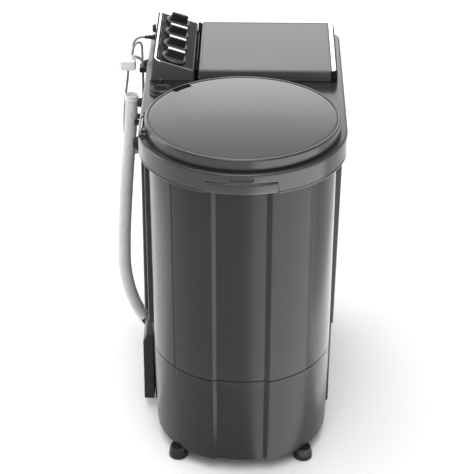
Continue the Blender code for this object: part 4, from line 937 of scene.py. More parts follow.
def make_lid_ring():
    r, top = WASH_LID_R, LID_TOP
    profile = [
        (r - 0.0025, LID_FOOT), (r - 0.0004, LID_FOOT), (r, LID_FOOT + 0.0008), (r, top - 0.0042),
        (r - 0.0005, top - 0.0022),
        (r - 0.0016, top - 0.0007), (r - 0.0026, top), (r - 0.0062, top), (PANEL_R + 0.0010, top - 0.0002),
        (PANEL_R + 0.0003, top - 0.0012), (PANEL_R + 0.0003, top - 0.0068), (PANEL_R - 0.0055, top - 0.0068),
        (PANEL_R - 0.0055, top - 0.0098), (r - 0.0045, top - 0.0060), (r - 0.0025, top - 0.0090),
    ]
    shape = turned(profile, 192, closed=True)
    parts = [(shape, ABS_DECK)]
    # The finger notch is a thin near-black slab on the ring's top: painted shade in place of a recess.
    start, end = NOTCH_ANGLE - NOTCH_HALF_ANGLE, NOTCH_ANGLE + NOTCH_HALF_ANGLE
    mark = [*arc((0, 0), r - 0.0048, start, end, 9), *arc((0, 0), r - 0.0180, end, start, 9)]
    parts.append((slab(mark, top - 0.0012, top + 0.0003, 0.0002), ACETAL_AND_PAINTED_SHADE))
    y, z = own_box("wash_lid_pin")[0].y + 0.0018, own_box("wash_lid_pin")[0].z + 0.0018
    for x in (-0.036, 0.036):
        parts.append((rod((x - 0.006, y, z), (x + 0.006, y, z), 0.0038, 24, edge=0.0005), ABS_DECK))
        tongue = block((x - 0.006, y - 0.0105, z - 0.0028), (x + 0.006, y - 0.001, z + 0.0028), 0.0006)
        parts.append((tongue, ABS_DECK))
    for i in range(12):
        turn = 2 * math.pi * i / 12
        rib = block((r - 0.0085, -0.0009, top - 0.0120), (r - 0.0022, 0.0009, top - 0.0070))
        parts.append((about_z(rib, turn), ABS_DECK))
    return piece("lid_ring", settled(parts), "wash_lid", ["wash_lid_ring"], sharp=30)


def make_lid_panel():
    r, top = PANEL_R, LID_TOP - 0.0010
    crown = 0.0034
    profile = [
        (0, LID_TOP - 0.0067), (r - 0.0004, LID_TOP - 0.0067), (r - 0.0002, top - 0.0014),
        (r - 0.0008, top - 0.0003),
    ]
    for share in (0.995, 0.97, 0.9, 0.8, 0.7, 0.6, 0.5, 0.4, 0.3, 0.2, 0.1, 0.0):
        profile.append(((r - 0.0012) * share, top + crown * (1 - share * share)))
    shape = turned(profile, 128)
    return piece(
        "lid_panel", [(at(shape, 0, 0), ACRYLIC)], "wash_lid", ["wash_lid_panel"], sharp=40
    )


make_lid_ring()
make_lid_panel()

# ------------------------------------------------------------------ spinner lid
trim_low, trim_high = own_box("spin_lid_trim")
spin_pane_low, spin_pane_high = own_box("spin_lid_panel")
LID_X0, LID_X1 = trim_low.x, trim_high.x
LID_Y1 = own_box("spin_lid")[1].y - 0.0086


SEAT_DEEP = 0.0032


def make_spin_frame():
    """A tray upside down: two-step side walls, an eased top edge and a seat for the pane."""
    y0, y1, z0, z1 = trim_high.y + 0.0003, LID_Y1, LID_FOOT, LID_TOP

    def rim(inset):
        return soft_box(LID_X0 + inset, LID_X1 - inset, y0, y1 - inset, max(0.0040 - inset, 0.0008), 4)

    levels = [
        (z0, rim(0.0016)), (z0 + 0.0090, rim(0.0016)), (z0 + 0.0098, rim(0.0003)), (z0 + 0.0106, rim(0.0)),
        (z1 - 0.0046, rim(0.0)), (z1 - 0.0022, rim(0.0006)), (z1 - 0.0007, rim(0.0018)), (z1, rim(0.0034)),
    ]
    shape = walls(levels)
    edges = [e for e in shape.edges if e.is_boundary and e.verts[0].co.z > z1 - 1e-5]
    seat = soft_box(spin_pane_low.x - 0.0004, spin_pane_high.x + 0.0004, spin_pane_low.y - 0.0004,
                    spin_pane_high.y + 0.0004, 0.003, 4)
    points = [shape.verts.new((x, y, z1)) for x, y in seat]
    inner = joined(shape, points)
    fill_between(shape, [*edges, *inner])
    low, floor = extruded(shape, inner)
    for v in low:
        v.co.z -= SEAT_DEEP
    fill_between(shape, floor)
    bmesh.ops.recalc_face_normals(shape, faces=shape.faces)
    sleeves = []
    low_pin, high_pin = own_box("spin_lid_pin")
    y, z = (low_pin.y + high_pin.y) / 2, (low_pin.z + high_pin.z) / 2
    for x0, x1 in ((low_pin.x + 0.007, low_pin.x + 0.057), (high_pin.x - 0.057, high_pin.x - 0.007)):
        sleeves.append((rod((x0, y, z), (x1, y, z), 0.0036, 24, edge=0.0005), ACETAL_AND_PAINTED_SHADE))
        sleeves.append((block((x0, y1 - 0.002, z - 0.0030), (x1, y - 0.001, z + 0.0030), 0.0005), ACETAL_AND_PAINTED_SHADE))
    tray = piece(
        "spin_lid_tray", [(at(shape, 0, 0), ABS_LID)], "spin_lid", ["spin_lid"],
        wall=0.0024, sharp=26
    )
    piece("spin_lid_sleeves", settled(sleeves), "spin_lid")
    return tray


def make_spin_pane():
    low, high = spin_pane_low, spin_pane_high
    outline = soft_box(low.x, high.x, low.y, high.y, 0.003, 4)
    shape = slab(outline, low.z, high.z, 0.0007)
    return piece(
        "spin_lid_pane", [(at(shape, 0, 0), SMOKED)], "spin_lid", ["spin_lid_panel"], sharp=40
    )


def make_spin_trim():
    """The foiled strip along the lid's front edge, with a plain grey lip in front of it."""
    x0, x1, y0, back = LID_X0, LID_X1, trim_low.y, trim_high.y
    corner = 0.0115

    def strip(front, side=0.0):
        return [
            *arc((x0 + side + corner, y0 + front + corner), corner, 180, 270, 7),
            *arc((x1 - side - corner, y0 + front + corner), corner, 270, 360, 7),
            (x1 - side, back), (x0 + side, back),
        ]

    top = LID_TOP - 0.0004
    body = walls(
        [(LID_FOOT, strip(0.0)), (LID_TOP - 0.0095, strip(0.0)), (LID_TOP - 0.0078, strip(0.0006)),
         (LID_TOP - 0.0026, strip(0.0018)), (top - 0.0002, strip(0.0030, 0.0004)),
         (top, strip(0.0036, 0.0008))],
        closed_top=True, closed_bottom=True,
    )
    foil_edge = 0.0042
    foil = slab(
        [(x0 + 0.0020, back - 0.0006), (x0 + 0.0020, y0 + foil_edge + 0.0075),
         (x0 + 0.0045, y0 + foil_edge + 0.0022),
         (x0 + 0.0095, y0 + foil_edge), (x1 - 0.0095, y0 + foil_edge), (x1 - 0.0045, y0 + foil_edge + 0.0022),
         (x1 - 0.0020, y0 + foil_edge + 0.0075), (x1 - 0.0020, back - 0.0006)],
        top - 0.0012, LID_TOP, 0.0003,
    )
    return piece(
        "spin_lid_trim_strip", [(at(body, 0, 0), CONSOLE_FACE), (at(foil, 0, 0), FOIL)], "spin_lid",
        ["spin_lid_trim"], sharp=30,
    )


make_spin_frame()
make_spin_pane()
make_spin_trim()

# ------------------------------------------------------------------ control box and knobs
box_low, box_high = own_box("control_box")
FACE_FRONT = (HALF - 0.1128, DECK_TOP + 0.0240)
FACE_BACK = (HALF - 0.0191, DECK_TOP + 0.0530)
FACE_SLOPE = math.atan2(FACE_BACK[1] - FACE_FRONT[1], FACE_BACK[0] - FACE_FRONT[0])
BOX_X0, BOX_X1 = box_low.x, box_high.x
KNOB_Y = HALF - 0.0660
KNOBS = ("wash_timer", "wash_mode", "drain", "spin_timer")
TILT = Matrix.Rotation(FACE_SLOPE, 4, "X")


def face_place(dx, dy, up=0.0):
    """A place on the sloping face, or above it along its normal, counted from the wash axis."""
    z = FACE_FRONT[1] + math.tan(FACE_SLOPE) * (dy - FACE_FRONT[0])
    return Vector((dx, dy - up * math.sin(FACE_SLOPE), z + up * math.cos(FACE_SLOPE)))


def on_face(shape, dx, dy):
    """Lays a shape that stands on z = 0 on the sloping face."""
    return put(shape, Matrix.Translation(spot(*face_place(dx, dy))) @ TILT)


def stations(x0, x1, steps, middles):
    """Places along X with how much each is eased: the steps at both ends, and none between them."""
    return [
        *[(x0 + step, ease) for step, ease in steps], *[(x, 0.0) for x in middles],
        *[(x1 - step, ease) for step, ease in reversed(steps)],
    ]


def prism(section, places, pull):
    """A section of y and z drawn along X. pull says how far an ease of one draws a point in."""
    shape = bmesh.new()
    rings = []
    for place in places:
        x, ease = place
        points = []
        for y, z in section:
            pull_y, pull_z = pull(y, z)
            points.append(shape.verts.new((x, y - ease * pull_y, z - ease * pull_z)))
        rings.append(joined(shape, points, closed=False))
        if place in (places[0], places[-1]):
            shape.faces.new(points)
    return bridged(shape, rings)


def make_control_box():
    """One wedge section drawn along X, its ends and long edges eased, open underneath."""
    foot = box_low.z
    front, back = FACE_FRONT[0], FACE_BACK[0]
    section = [
        (front + 0.0006, foot), (front, foot + 0.002), (front, FACE_FRONT[1] - 0.0024),
        (front + 0.0007, FACE_FRONT[1] - 0.0007), (front + 0.0024, FACE_FRONT[1] + 0.0006),
        (back - 0.0040, FACE_BACK[1] - 0.0013), (back - 0.0012, FACE_BACK[1] - 0.0006),
        (back + 0.0008, FACE_BACK[1] - 0.0018),
        (back + 0.0014, FACE_BACK[1] - 0.0040), (HALF - 0.0132, foot + 0.004), (HALF - 0.0134, foot),
    ]

    def pull(y, z):
        return (y - (front + back) / 2) / (back - front) * 2, max(0.0, (z - foot) / (FACE_BACK[1] - foot))

    steps = ((0.0, 0.0032), (0.0006, 0.0016), (0.0018, 0.0005), (0.0040, 0.0))
    shape = prism(section, stations(BOX_X0, BOX_X1, steps, (BOX_X0 + 0.09, BOX_X0 + 0.18)), pull)
    at(shape, 0, 0)
    for face in shape.faces:
        face.normal_update()
        face.tag = face.normal.z > 0.8
    return piece(
        "control_box_shell", [(shape, ABS_LID, CONSOLE_FACE)], replaces=["control_box"],
        wall=0.0025, sharp=30,
    )


def strip_outline(points, halves):
    """The outline of a strip along the points, with half its width at each."""
    left, right = [], []
    for i, ((x, y), half) in enumerate(zip(points, halves)):
        before, after = points[max(i - 1, 0)], points[min(i + 1, len(points) - 1)]
        along = Vector((after[0] - before[0], after[1] - before[1])).normalized()
        left.append((x - along.y * half, y + along.x * half))
        right.append((x + along.y * half, y - along.x * half))
    return [*left, *right[::-1]]


def ribbon(points, wide, thick):
    """A flat strip along points on the sloping face, given as x and y from the wash axis."""
    return slab(strip_outline(points, [wide / 2] * len(points)), -thick / 2, thick / 2)


def make_face_trim():
    """A silver line along the face's back edge, round the near corner, and a thin one down the near edge."""
    x0, x1 = BOX_X0 + 0.0030, BOX_X1 - 0.004
    back = FACE_BACK[0] - 0.0050
    front = FACE_FRONT[0] + 0.0040
    bend = 0.012
    line = [(x1, back), *[(x0 + 0.03 + (x1 - x0 - 0.03) * (1 - i / 6), back) for i in range(1, 6)]]
    line += arc((x0 + bend, back - bend), bend, 90, 180, 8)
    strip = ribbon(line, 0.0042, 0.0012)
    near = [(x0, back - bend - 0.0004), (x0 + 0.0004, (back + front) / 2), (x0 + 0.0008, front)]
    thin = ribbon(near, 0.0024, 0.0012)
    return piece("face_trim", [(drape(strip), FOIL), (drape(thin), PRINT_GREY)])


def drape(shape):
    """Moves a flat shape given by x and y onto the sloping face."""
    for v in shape.verts:
        v.co = spot(*face_place(v.co.x, v.co.y, v.co.z))
    return shape


# where each caption's bars start, from the knob's middle, and how long they are
CAPTION_DASHES = ((-0.016, 0.006), (-0.008, 0.010), (0.005, 0.004), (0.012, 0.007))
PRINT_THICK = 0.00025
DIAL_SWEEP = 270


def make_face_print():
    """Tick marks and plain captions round the knobs, drawn as short bars and numbers."""
    parts = []
    for name in KNOBS:
        x = knob_middle(name).x
        ticks = 11 if name.endswith("timer") else 4
        for i in range(ticks):
            turn = math.radians(90 - DIAL_SWEEP / 2 + DIAL_SWEEP * i / (ticks - 1))
            mark = block((0.0318, -0.00035, 0), (0.0338 if i % 5 else 0.0345, 0.00035, PRINT_THICK))
            moved(about_z(mark, turn), (x, KNOB_Y, 0))
            parts.append((drape(mark), PRINT_GREY))
        for start, long in CAPTION_DASHES:
            dash = block((x + start, HALF - 0.0305, 0), (x + start + long, HALF - 0.0297, PRINT_THICK))
            parts.append((drape(dash), PRINT_GREY))
    return piece("face_print", parts)


def knob_middle(name):
    low, high = own_box(f"knob_{name}")
    return (low + high) / 2


NUMBER_SIZE = 0.0038
NUMBER_R = 0.0372


def make_number(text, place):
    words = bpy.data.curves.new(f"number_{text}", "FONT")
    words.body = text
    words.size = NUMBER_SIZE
    words.extrude = 0.00012
    words.align_x, words.align_y = "CENTER", "CENTER"
    made = bpy.data.objects.new("number", words)
    mesh = bpy.data.meshes.new_from_object(made)
    bpy.data.objects.remove(made)
    shape = bmesh.new()
    shape.from_mesh(mesh)
    bpy.data.meshes.remove(mesh)
    return drape(moved(about_z(shape, math.radians(-90)), (*place, 0.0002)))


def make_numbers():
    parts = []
    for name in KNOBS:
        if not name.endswith("timer"):
            continue
        x = knob_middle(name).x
        last = 15 if name == "wash_timer" else 5
        for value in (0, last // 3, 2 * last // 3 if last == 15 else 3, last):
            turn = math.radians(90 - DIAL_SWEEP / 2 + DIAL_SWEEP * value / last)
            place = (x + NUMBER_R * math.cos(turn) * 0.93, KNOB_Y + NUMBER_R * math.sin(turn))
            parts.append((make_number(str(value), place), PRINT_GREY))
    return piece("dial_numbers", parts)


def make_knob(name):
    """A disc with a raised ring and a tall bar across it; a white line on the bar shows where it points."""
    node_name = f"knob_{name}"
    x = knob_middle(name).x
    top, radius = 0.0060, 0.029
    skirt = [
        (0, 0.0012), (radius - 0.0016, 0.0008), (radius - 0.0004, 0.0012), (radius, 0.0024),
        (radius - 0.0002, 0.0038),
        (radius - 0.0012, 0.0050), (radius - 0.0026, 0.0058), (radius - 0.0044, 0.0060),
        (radius - 0.0062, 0.0056),
        (radius - 0.0072, 0.0046), (radius - 0.0082, 0.0042), (radius - 0.0125, 0.0044), (0, 0.0046),
    ]
    parts = [(turned(skirt, 72), ABS_RING)]
    wide, long, high = 0.0132, 0.0440, 0.0233

    def level(z, dx, dy, corner):
        return z, soft_box(dx - wide / 2, wide / 2 - dx, dy - long / 2, long / 2 - dy, corner)

    bar = walls([
        level(top - 0.0022, 0, 0, 0.0050), level(top + 0.0020, 0.0006, 0.0006, 0.0048),
        level(high - 0.0030, 0.0022, 0.0018, 0.0040), level(high - 0.0012, 0.0028, 0.0024, 0.0034),
        level(high - 0.0004, 0.0038, 0.0036, 0.0024), level(high - 0.0002, 0.0048, 0.0050, 0.0014),
    ], closed_top=True)
    parts.append((bar, ABS_BLACK_AND_PAINTED_SHADE))
    if name != "spin_timer":
        line = block((-0.0040, -long / 2 + 0.0018, high - 0.0022), (0.0040, long / 2 - 0.0018, high), 0.0006)
        parts.append((line, PRINT_WHITE))
    for side in (-1, 1):
        lug = rod((side * 0.0205, 0, top - 0.0022), (side * 0.0205, 0, top - 0.0008), 0.0016, 16, edge=0.0003)
        parts.append((lug, PRINT_GREY))
    for shape, _ in parts:
        on_face(shape, x, KNOB_Y)
    return piece(f"{node_name}_cap", parts, node_name, [node_name], sharp=34)


make_control_box()
make_face_trim()
make_face_print()
make_numbers()
for name in KNOBS:
    make_knob(name)

# ------------------------------------------------------------------ water inlet
TRAY_X1 = LID_X0 - 0.0008


def make_inlet():
    """The sunk tray beside the wash lid, the funnel in it with a double rim, and the hose hook behind."""
    back = HALF - 0.0105
    rim = WASH_LID_R + 0.0055
    outline = [
        (TRAY_X1, back), (0.170, back - 0.0045), (0.162, back - 0.0070), (0.157, back - 0.0105),
        (0.153, back - 0.016), (0.152, back - 0.021), *arc((0, 0), rim, 51, 31, 13), (TRAY_X1, 0.113),
    ]
    low = DECK_TOP + 0.0003
    tray = slab(outline, low, low + 0.0020, 0.0006)
    fx, fy = FUNNEL_AT
    rims = [
        (0.0168, low + 0.0022), (0.0215, low + 0.0022), (0.0232, low + 0.0026), (0.0234, low + 0.0040),
        (0.0228, low + 0.0050), (0.0214, low + 0.0053), (0.0204, low + 0.0048), (0.0198, low + 0.0036),
        (0.0190, low + 0.0036), (0.0186, low + 0.0046), (0.0178, low + 0.0052), (0.0168, low + 0.0050),
        (0.0158, low + 0.0040), (0.0150, low), (0.0145, DECK_TOP - 0.010), (0.0095, DECK_TOP - 0.029),
        (0.0090, DECK_TOP - 0.045), (0.0108, DECK_TOP - 0.045), (0.0110, DECK_TOP - 0.030),
        (0.0164, DECK_TOP - 0.012),
        (0.0168, low),
    ]
    funnel = moved(turned(rims, 64, closed=True), (fx, fy, 0))
    hook_x, hook_y = 0.2140, fy + 0.0010
    foot = low + 0.0018
    head = foot + 0.0130
    post = rod((hook_x, hook_y, foot), (hook_x, hook_y, head), 0.0036, 24, radius_end=0.0030, edge=0.0004)
    cap = turned([
        (0, 0.0010), (0.0020, 0.0010), (0.0026, 0.0022), (0.0040, 0.0026), (0.0048, 0.0016), (0.0050, 0.0),
        (0.0044, -0.0010), (0.0030, -0.0014), (0, -0.0014),
    ], 32)
    moved(cap, (hook_x, hook_y, foot + 0.0135))
    for shape in (tray, funnel, post, cap):
        at(shape, 0, 0)
    piece("inlet_tray_shell", [(tray, ABS_BLACK_AND_PAINTED_SHADE), (post, ABS_BLACK_AND_PAINTED_SHADE), (cap, ABS_DECK)], replaces=["inlet_tray"],
          sharp=40)
    return piece(
        "inlet_funnel_shell", [(funnel, ABS_DECK)], replaces=["inlet_funnel"], sharp=50
    )


make_inlet()

# ------------------------------------------------------------------ feet, spacers and clips
def make_feet():
    for number in range(1, 5):
        low, high = own_box(f"foot_{number}")
        middle = (low + high) / 2
        r = (high.x - low.x) / 2
        profile = [
            (0, high.z), (0.80 * r, high.z), (0.90 * r, high.z - 0.006), (0.96 * r, high.z - 0.014),
            (r, 0.0080), (r, 0.0040), (r - 0.0010, 0.0014), (r - 0.0034, 0.0),
            (r - 0.0080, 0.0), (r - 0.0086, 0.0012), (0.005, 0.0012), (0, 0.0012),
        ]
        shape = at(turned(profile, 48), middle.x, middle.y)
        piece(f"foot_pad_{number}", [(shape, ABS_BASE)], replaces=[f"foot_{number}"], sharp=40)


def make_spacers():
    """Round buffers: a collar, a waist and a domed cap with a screw head sunk in it."""
    for number in range(1, 5):
        low, high = own_box(f"wall_spacer_{number}")
        x, z = (low.x + high.x) / 2, (low.z + high.z) / 2
        r, reach = (high.x - low.x) / 2, high.y - low.y
        profile = [
            (0, 0), (r, 0), (r, 0.0010), (r - 0.0004, 0.0018), (0.90 * r, 0.0022), (0.90 * r, 0.45 * reach),
            (0.84 * r, 0.55 * reach), (0.82 * r, 0.80 * reach), (0.74 * r, 0.95 * reach), (0.58 * r, reach),
            (0.40 * r, reach), (0.36 * r, 0.86 * reach), (0, 0.84 * reach),
        ]
        shape = turned(profile, 40)
        screw = rod((0, 0, 0.80 * reach), (0, 0, 0.90 * reach), 0.28 * r, 24, edge=0.0004)
        place = pointing_back(x, low.y, z)
        piece(
            f"wall_buffer_{number}", [(put(shape, place), RUBBER_AND_PAINTED_SHADE), (put(screw, place), ZINC)],
            replaces=[f"wall_spacer_{number}"], sharp=40,
        )


def make_clip(name, node_name, bands):
    """A plastic clip: a foot on the wall, two sprung prongs with rounded tips, and raised bands."""
    low, high = own_box(node_name)
    thick = 0.0020
    z0, z1 = low.z, high.z
    x0, x1 = low.x, high.x
    parts = [(block((x0, low.y, z0), (x1, low.y + 0.0022, z1), 0.0005), ABS_BLACK_AND_PAINTED_SHADE)]
    for a, b in ((x0, x0 + thick), (x1 - thick, x1)):
        parts.append((block((a, low.y + 0.0012, z0), (b, high.y - 0.0010, z1), 0.0007), ABS_BLACK_AND_PAINTED_SHADE))
        x, y = (a + b) / 2, high.y - 0.0012
        tip = rod((x, y, z0 + 0.0004), (x, y, z1 - 0.0004), 0.00115, 16, edge=0.0003)
        parts.append((tip, ABS_BLACK_AND_PAINTED_SHADE))
    for i in range(bands):
        z = between(z0, z1, (i + 0.5) / bands)
        for a, b in ((x0, x0 + 0.0004), (x1 - 0.0004, x1)):
            band = block((a, low.y + 0.004, z - 0.0012), (b, high.y - 0.003, z + 0.0012), 0.00015)
            parts.append((band, ABS_BLACK_AND_PAINTED_SHADE))
    return piece(name, settled(parts), replaces=[node_name])


make_feet()
make_spacers()
make_clip("cord_holder", "cord_clip", 2)
make_clip("hose_holder", "hose_clip", 2)


# ------------------------------------------------------------------ back panel and belt cover
SCREW_R = 0.0040


def screw_head(x, y, z):
    """A pan-head cross screw with its axis along Y."""
    head = turned(
        [(0, 0.0019), (0.35 * SCREW_R, 0.0018), (0.75 * SCREW_R, 0.0012), (SCREW_R, 0.0), (0, -0.0004)], 20
    )
    cuts = []
    # The cross is a black slab in the head: painted shade in place of a recess.
    for turn in (0.3, 0.3 + math.pi / 2):
        cross = block((-0.62 * SCREW_R, -0.0005, 0.0012), (0.62 * SCREW_R, 0.0005, 0.00198), 0.0001, 1)
        cuts.append(about_z(cross, turn))
    place = pointing_back(x, y, z)
    return [(put(head, place), ZINC), *[(put(cut, place), ABS_BLACK_AND_PAINTED_SHADE) for cut in cuts]]


def pressed_panel(x0, x1, z0, z1, y0, y1, corner, ease):
    """A shallow tray that stands off the wall, its edge drawn in two steps."""

    def level(y, inset):
        return y, soft_box(x0 + inset, x1 - inset, z0 + inset, z1 - inset, corner)

    levels = [level(y0, 0), level(y1 - ease, 0), level(y1 - 0.35 * ease, 0.3 * ease), level(y1, ease)]
    return walls(levels, closed_top=True)


FLAT_TO_WALL = Matrix(((1, 0, 0, 0), (0, 0, 1, 0), (0, 1, 0, 0), (0, 0, 0, 1)))


def make_back_panel():
    low, high = own_box("rear_panel")
    y0, y1 = low.y, high.y
    shape = pressed_panel(low.x, high.x, low.z, high.z, y0, y1 - 0.0018, 0.012, 0.005)
    parts = [(put(shape, FLAT_TO_WALL), ABS_BODY)]
    bars = 5
    for i in range(bars):
        x = between(low.x + 0.06, high.x - 0.06, i / (bars - 1))
        if abs(x - HOSE_X) < 0.03 or abs(x - 0.415) < 0.03:
            x += 0.035
        bottom, top = low.z + 0.035, high.z - 0.035
        rib = block((x - 0.005, y1 - 0.0030, bottom), (x + 0.005, y1 - 0.0004, top), 0.0012, 3)
        parts.append((rib, ABS_BODY))
    for shape, _ in parts:
        bmesh.ops.recalc_face_normals(shape, faces=shape.faces)
        at(shape, 0, 0)
    for x in (low.x + 0.014, (low.x + high.x) / 2 + 0.01, high.x - 0.014):
        for z in (low.z + 0.014, high.z - 0.014):
            parts += screw_head(x, y1 - 0.0018, z)
    return piece("back_panel", parts, replaces=["rear_panel"])


def make_belt_cover():
    """The black box over the drive at the back, with slots for air and screws along its foot."""
    low, high = own_box("rear_cover")
    x0, x1, y0, y1, z0, z1 = low.x, high.x, low.y, high.y, low.z, high.z
    chamfer = 0.015
    section = [
        (y0, z1), (y1 - chamfer / 2 - 0.001, z1), (y1 - chamfer / 2 + 0.0004, z1 - 0.0006),
        (y1 - 0.0008, z1 - chamfer + 0.001), (y1, z1 - chamfer - 0.001), (y1, z0 + 0.0025),
        (y1 - 0.0008, z0 + 0.0008),
        (y1 - 0.0025, z0), (y0, z0),
    ]
    middle = (z0 + z1) / 2

    def pull(y, z):
        return (y - y0) / (y1 - y0), (z - middle) / (z1 - middle)

    steps = ((0.0, 0.0030), (0.0009, 0.0010), (0.0030, 0.0))
    shape = prism(section, stations(x0, x1, steps, ((x0 + x1) / 2,)), pull)
    parts = [(at(shape, 0, 0), ABS_BLACK_AND_PAINTED_SHADE)]
    for row in range(3):
        for i in range(9):
            x = x0 + 0.22 + i * 0.014
            z = z0 + 0.040 + row * 0.030
            # Each air slot is a flat black block on the cover's face: painted shade in place of an opening.
            slot = block((x - 0.0028, y1 - 0.0006, z - 0.0105), (x + 0.0028, y1, z + 0.0105), 0.0002, 1)
            parts.append((at(slot, 0, 0), RUBBER_AND_PAINTED_SHADE))
            hood = block((x - 0.0040, y1 - 0.0006, z + 0.0105), (x + 0.0040, y1, z + 0.0120), 0.0002, 1)
            parts.append((at(hood, 0, 0), ABS_BLACK_AND_PAINTED_SHADE))
    for i in range(4):
        parts += screw_head(x0 + 0.012 + i * (x1 - x0 - 0.024) / 3, y1 - 0.0019, z0 + 0.012)
    return piece("belt_cover", parts, replaces=["rear_cover"])


make_back_panel()
make_belt_cover()

# ------------------------------------------------------------------ wash tub, pulsator and lint filter
tub_low, tub_high = own_box("wash_tub")
TUB_TOP = tub_high.z
TUB_GAP = 0.0098
TUB_R = CABINET_TOP_R - CABINET_WALL - RECESS_DEEP - TUB_GAP
TUB_FOOT_R = TUB_R - 0.012
TUB_FLOOR = tub_low.z + 0.0028


def make_wash_tub():
    """A moulded tub with a drawn lip, ribs up its wall and rings of drain holes in its floor."""
    profile = [
        (0.0125, TUB_FLOOR), (0.060, TUB_FLOOR), (0.130, TUB_FLOOR + 0.0002),
        (TUB_FOOT_R - 0.020, TUB_FLOOR + 0.0008),
        (TUB_FOOT_R - 0.010, TUB_FLOOR + 0.0035), (TUB_FOOT_R - 0.0035, TUB_FLOOR + 0.0090),
        (TUB_FOOT_R - 0.0004, TUB_FLOOR + 0.0170), (TUB_FOOT_R + 0.0006, TUB_FLOOR + 0.030),
        (TUB_R - 0.0022, TUB_TOP - 0.060), (TUB_R - 0.0004, TUB_TOP - 0.0080),
        (TUB_R + 0.0006, TUB_TOP - 0.0022),
        (TUB_R + 0.0024, TUB_TOP - 0.0004), (TUB_R + 0.0070, TUB_TOP), (TUB_R + 0.0078, TUB_TOP - 0.0030),
        (TUB_R + 0.0070, TUB_TOP - 0.0038), (TUB_R + 0.0026, TUB_TOP - 0.0042),
        (TUB_FOOT_R + 0.0026, TUB_FLOOR + 0.014),
        (TUB_FOOT_R - 0.0110, TUB_FLOOR - 0.0026), (0.0125, TUB_FLOOR - 0.0026),
    ]
    parts = [(turned(profile, 120, closed=True), PP_TUB)]
    ribs = 12
    for i in range(ribs):
        turn = 2 * math.pi * (i + 0.5) / ribs
        foot, head = (TUB_FOOT_R + 0.0012, 0, TUB_FLOOR + 0.026), (TUB_R - 0.0012, 0, TUB_TOP - 0.050)
        rib = rod(foot, head, 0.0032, 16, edge=0.0008)
        if abs(math.degrees(turn) - 90) > 12:
            parts.append((about_z(rib, turn), PP_TUB))
        else:
            rib.free()
    for radius, count in ((0.166, 36), (0.150, 30)):
        for i in range(count):
            turn = 2 * math.pi * i / count
            # Each drain hole is a flat black disc on the floor: painted shade in place of an opening.
            hole = rod((radius, 0, TUB_FLOOR - 0.0004), (radius, 0, TUB_FLOOR + 0.0012), 0.0026, 10)
            parts.append((about_z(hole, turn), RUBBER_AND_PAINTED_SHADE))
    for i, level in enumerate((0.215, 0.275, 0.335)):
        half, z = 0.012 + 0.004 * i, TUB_FLOOR + level
        mark = block((-TUB_FOOT_R - 0.0045, -half, z), (-TUB_FOOT_R - 0.0030, half, z + 0.0012))
        parts.append((about_z(mark, math.radians(-40)), PRINT_GREY))
    return piece("wash_tub_shell", settled(parts), replaces=["wash_tub"], sharp=50)


def make_pulsator():
    """The finned disc at the tub's floor: a domed hub, curved fins and small drain holes."""
    low, high = own_box("pulsator")
    r = (high.x - low.x) / 2
    z = TUB_FLOOR + 0.003
    disc = [
        (0, z + 0.0395), (0.008, z + 0.0393), (0.016, z + 0.0382), (0.0215, z + 0.0355), (0.026, z + 0.0300),
        (0.033, z + 0.0225), (0.044, z + 0.0165), (0.070, z + 0.0105), (r - 0.026, z + 0.0062),
        (r - 0.010, z + 0.0062), (r - 0.003, z + 0.0076), (r - 0.0006, z + 0.0078), (r, z + 0.0068),
        (r - 0.0004, z + 0.0030), (r - 0.0030, z + 0.0006), (0.030, z + 0.0004), (0.0125 - 0.0015, z),
        (0.0110, low.z), (0, low.z),
    ]
    parts = [(turned(disc, 96), ABS_BASE)]
    fins = 6
    for i in range(fins):
        line = []
        for k in range(9):
            share = k / 8
            radius = between(0.026, r - 0.012, share)
            sweep = 2 * math.pi * i / fins + 0.38 * share * share
            line.append((radius * math.cos(sweep), radius * math.sin(sweep)))
        outline = strip_outline(line, [0.0060 - 0.0018 * k / 8 for k in range(9)])
        fin = slab(outline, z + 0.004, z + 0.0270, 0.0026, 3)
        for v in fin.verts:
            out = Vector((v.co.x, v.co.y)).length
            share = min(1.0, max(0.0, (out - 0.026) / (r - 0.038)))
            if v.co.z > z + 0.012:
                v.co.z = z + 0.010 + (v.co.z - z - 0.012) * 0.4 + 0.0175 * (1 - share) ** 0.8
        parts.append((fin, ABS_BASE))
    cap = [(0, z + 0.0399), (0.0080, z + 0.0398), (0.0092, z + 0.0394), (0.0096, z + 0.0384), (0, z + 0.0380)]
    parts.append((turned(cap, 40), PRINT_GREY))
    for i in range(fins):
        for radius in (0.075, 0.092, 0.108):
            turn = 2 * math.pi * (i + 0.62) / fins + radius * 2
            top_z = z + 0.0104 - (radius - 0.070) * 0.075
            # Each small hole is a flat black disc on the disc's top: painted shade in place of an opening.
            hole = rod((radius, 0, top_z - 0.002), (radius, 0, top_z), 0.0024, 10)
            parts.append((about_z(hole, turn), RUBBER_AND_PAINTED_SHADE))
    return piece("pulsator_disc", settled(parts), "pulsator", ["pulsator"], sharp=44)


